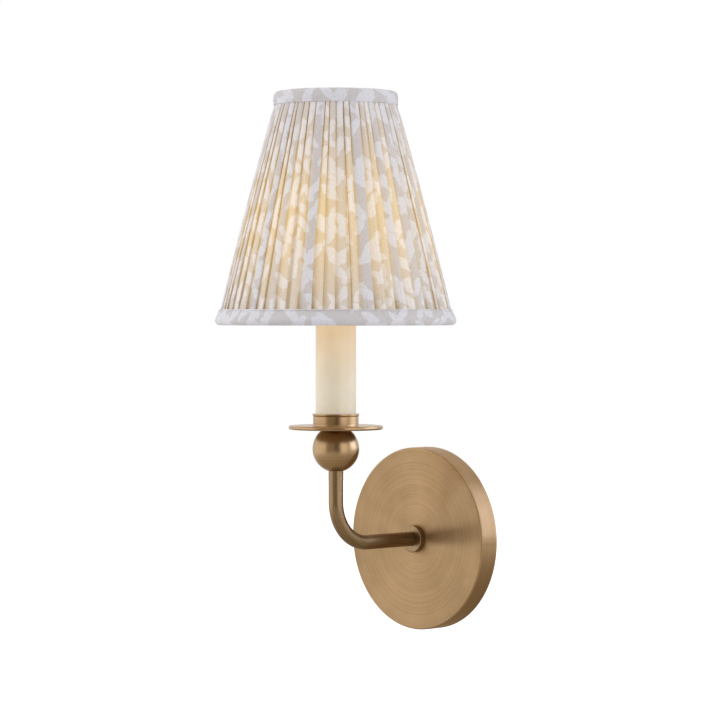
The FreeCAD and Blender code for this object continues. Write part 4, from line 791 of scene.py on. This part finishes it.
def band(name, profile, node):
    """A folded strip carried round the candle's axis along a profile, puckered by the pleats under it."""
    profile = np.array(profile)
    radius, height = profile[:, :1], profile[:, 1:]
    turn = np.linspace(0, AROUND, BAND_STEPS + 1)[None, :]
    pucker = PUCKER * (np.sin(PLEATS * turn) + 0.7 * np.sin(23 * turn + 1) + 1.2 * np.sin(5 * turn))[:, :-1]
    wide = radius + pucker
    slant = run_down(radius, height)
    size = float(radius.max())
    piece = cloth_grid(
        name, *about_candle(wide, SEAM + turn[:, :-1]), height + 0 * wide, size * turn + 0 * slant,
        slant + 0 * turn, "band_cloth", band_cloth, glow=0 * wide, slit=0 * wide)
    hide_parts(node)


def rounded(radius, height, start, end, size, tall=1.0):
    """Points of a rounded corner about a centre, between two angles in degrees; tall stretches it upward."""
    angles = np.radians(np.linspace(start, end, 7))
    return [(radius + size * math.cos(a), height + size * tall * math.sin(a)) for a in angles]


band_cloth = printed_linen("band_printed_linen")
low, top = top_band_low.z, top_band_high.z
inside = lining_top - INSIDE_LINING_TOP
band("top_band_cloth", [
    (shade_top - 1.4 * MM, low + 0.1 * MM),
    *rounded(shade_top - HEM / 2, low + HEM / 2, -100, 60, HEM / 2),
    (shade_top - HEM_PROUD, low + HEM + 0.3 * MM),
    (shade_top, low + 3 * MM),
    (shade_top, low + 4.5 * MM),
    *rounded(shade_top - TOP_EDGE, top - TOP_EDGE_TALL, 0, 90, TOP_EDGE, 1.2),
    *rounded(inside + BAND_ROLL, top - BAND_ROLL, 90, 180, BAND_ROLL),
    (inside, top - 3.4 * MM),
], "shade_top_band")

low, top = bottom_band_low.z, bottom_band_high.z
inside = lining_base - INSIDE_LINING_BASE
band("bottom_band_cloth", [
    (inside, low + 3.4 * MM),
    *rounded(inside + BAND_ROLL, low + BAND_ROLL, 180, 270, BAND_ROLL),
    *rounded(shade_base - BASE_EDGE, low + BASE_EDGE_TALL, -90, 0, BASE_EDGE, 1.1),
    (shade_base - 0.15 * FLARE, low + 4.6 * MM),
    (shade_base - 0.6 * FLARE, low + 7 * MM),
    (shade_base - 0.85 * FLARE - HEM_PROUD, top - HEM - 0.3 * MM),
    *rounded(shade_base - FLARE - HEM / 2, top - HEM / 2, -60, 100, HEM / 2),
    (shade_base - FLARE - 1.5 * MM, top - 0.1 * MM),
], "shade_bottom_band")


# Studio: a pale floor well under the light, which the brass sees as dim brown, a white surround and two
# soft lamps. The lamps light the cloth; the brass shows the flags and cards round the camera instead.
SURROUND_LEVEL = 0.66
FLOOR_DROP = 0.6
FLOOR_HALF = 8
FLOOR_PAPER = "#e8e8e8"
FLOOR_SHOWN = 0.75
# What the brass sees of the floor: dim brown round a place under the light, paler further out.
DIM_PLACE = (0, 0.6, -FLOOR_DROP)
DIM_REACH = (0.2, 2.4)
DIM_BROWN, DIM_PALE = "#a1927a", "#f2eee6"
CARD_DISTANCE = 2.2
CAMERA_BEARING = math.atan2(CAMERA_PLACE[1] - CANDLE[1], CAMERA_PLACE[0])
LAMPS_AIM = (CANDLE[0], CANDLE[1], 0.12)

scene = bpy.context.scene


def white_surround():
    """A world that is white to the camera and in reflections, and a dimmer white as light."""
    world = bpy.data.worlds.new("studio")
    world.use_nodes = True
    tree = world.node_tree
    tree.nodes.clear()
    rays = add(tree, "ShaderNodeLightPath")
    mirrored = add(tree, "ShaderNodeMath", [
        (0, rays.outputs["Is Camera Ray"]), (1, rays.outputs["Is Glossy Ray"])], operation="MAXIMUM")
    seen = add(tree, "ShaderNodeMath", [
        (0, mirrored.outputs[0]), (1, rays.outputs["Is Transmission Ray"])], operation="MAXIMUM")
    level = add(tree, "ShaderNodeMapRange", [
        ("Value", seen.outputs[0]), ("To Min", SURROUND_LEVEL), ("To Max", 1.0)])
    surround = add(tree, "ShaderNodeBackground", [("Color", (1, 1, 1, 1)), ("Strength", level.outputs[0])])
    add(tree, "ShaderNodeOutputWorld", [("Surface", surround.outputs[0])])
    return world


def floor_paper():
    """White paper, lifted to white for the camera with its shadows kept, and dim brown in reflections."""
    material = bpy.data.materials.new("white_paper_floor")
    material.use_nodes = True
    tree = material.node_tree
    tree.nodes.clear()
    rays = add(tree, "ShaderNodeLightPath")
    paper = add(tree, "ShaderNodeBsdfDiffuse", [("Color", linear(FLOOR_PAPER))])
    shown = add(tree, "ShaderNodeEmission", [("Color", (1, 1, 1, 1)), ("Strength", FLOOR_SHOWN)])
    place = add(tree, "ShaderNodeTexCoord").outputs["Object"]
    apart = add(tree, "ShaderNodeVectorMath", [(0, place), (1, DIM_PLACE)], operation="DISTANCE")
    far = add(tree, "ShaderNodeMapRange", [
        ("Value", apart.outputs["Value"]), ("From Min", DIM_REACH[0]), ("From Max", DIM_REACH[1])])
    falling = add(tree, "ShaderNodeMix", [
        ("Factor", far.outputs[0]), (A_COLOUR, linear(DIM_BROWN)), (B_COLOUR, linear(DIM_PALE))],
        data_type="RGBA")
    dim = add(tree, "ShaderNodeEmission", [("Color", falling.outputs[BLENDED]), ("Strength", 1.0)])
    bright = add(tree, "ShaderNodeAddShader", [(0, paper.outputs[0]), (1, shown.outputs[0])])
    lit = add(tree, "ShaderNodeMixShader", [
        ("Fac", rays.outputs["Is Camera Ray"]), (1, paper.outputs[0]), (2, bright.outputs[0])])
    either = add(tree, "ShaderNodeMixShader", [
        ("Fac", rays.outputs["Is Glossy Ray"]), (1, lit.outputs[0]), (2, dim.outputs[0])])
    add(tree, "ShaderNodeOutputMaterial", [("Surface", either.outputs[0])])
    return material


def panel(name, corners, material):
    """A flat four-cornered piece of the studio."""
    mesh = bpy.data.meshes.new(name)
    mesh.from_pydata(corners, [], [(0, 1, 2, 3)])
    mesh.materials.append(material)
    piece = bpy.data.objects.new(name, mesh)
    scene.collection.objects.link(piece)
    return piece


scene.world = white_surround()
panel("floor", [
    (-FLOOR_HALF, -FLOOR_HALF, -FLOOR_DROP), (FLOOR_HALF, -FLOOR_HALF, -FLOOR_DROP),
    (FLOOR_HALF, FLOOR_HALF, -FLOOR_DROP), (-FLOOR_HALF, FLOOR_HALF, -FLOOR_DROP)], floor_paper())

# Each card: where it starts and ends, in degrees round from the camera, its lower and upper edge in
# metres, its colour and its strength. Only reflections show the cards.
for name, start, end, foot, head, colour, level in (
    ("left_card", -130, -56, -0.5, 2.2, "#ffffff", 1.32),
    ("grey_flag", -48, -5, -0.55, 2.2, "#c9bda6", 0.7),
    ("brown_flag", -5, 20, -0.55, 2.2, "#8c7c60", 0.55),
    ("near_card", 27, 56, -0.5, 2.0, "#ffffff", 1.5),
    ("far_card", 80, 118, 0.0, 1.9, "#dde6ff", 3.8),
):
    card = finish_of(name, [
        ("Base Color", (0, 0, 0, 1)), ("Emission Color", linear(colour)), ("Emission Strength", level)])[0]
    sides = [CAMERA_BEARING + math.radians(degrees) for degrees in (start, end)]
    near, far = [
        (CARD_DISTANCE * math.cos(side), CANDLE[1] + CARD_DISTANCE * math.sin(side)) for side in sides]
    piece = panel(name, [(*near, foot), (*far, foot), (*far, head), (*near, head)], card)
    piece.visible_camera = False
    piece.visible_diffuse = False
    piece.visible_shadow = False
    piece.visible_transmission = False

# Each lamp: where it stands, its width in metres and its power in watts.
for name, place, size, power in (
    ("left_softbox", (-1.3, -1.5, 0.9), 1.0, 14.0),
    ("right_softbox", (1.7, 0.1, 0.7), 0.8, 8.0),
):
    lamp = bpy.data.lights.new(name, "AREA")
    lamp.size = size
    lamp.energy = power
    stand = bpy.data.objects.new(name, lamp)
    stand.location = place
    aim = np.array(LAMPS_AIM) - np.array(place)
    stand.rotation_euler = (
        math.atan2(math.hypot(aim[0], aim[1]), -aim[2]), 0, math.atan2(aim[1], aim[0]) - math.pi / 2)
    stand.visible_glossy = False
    scene.collection.objects.link(stand)

scene.view_settings.view_transform = "Standard"
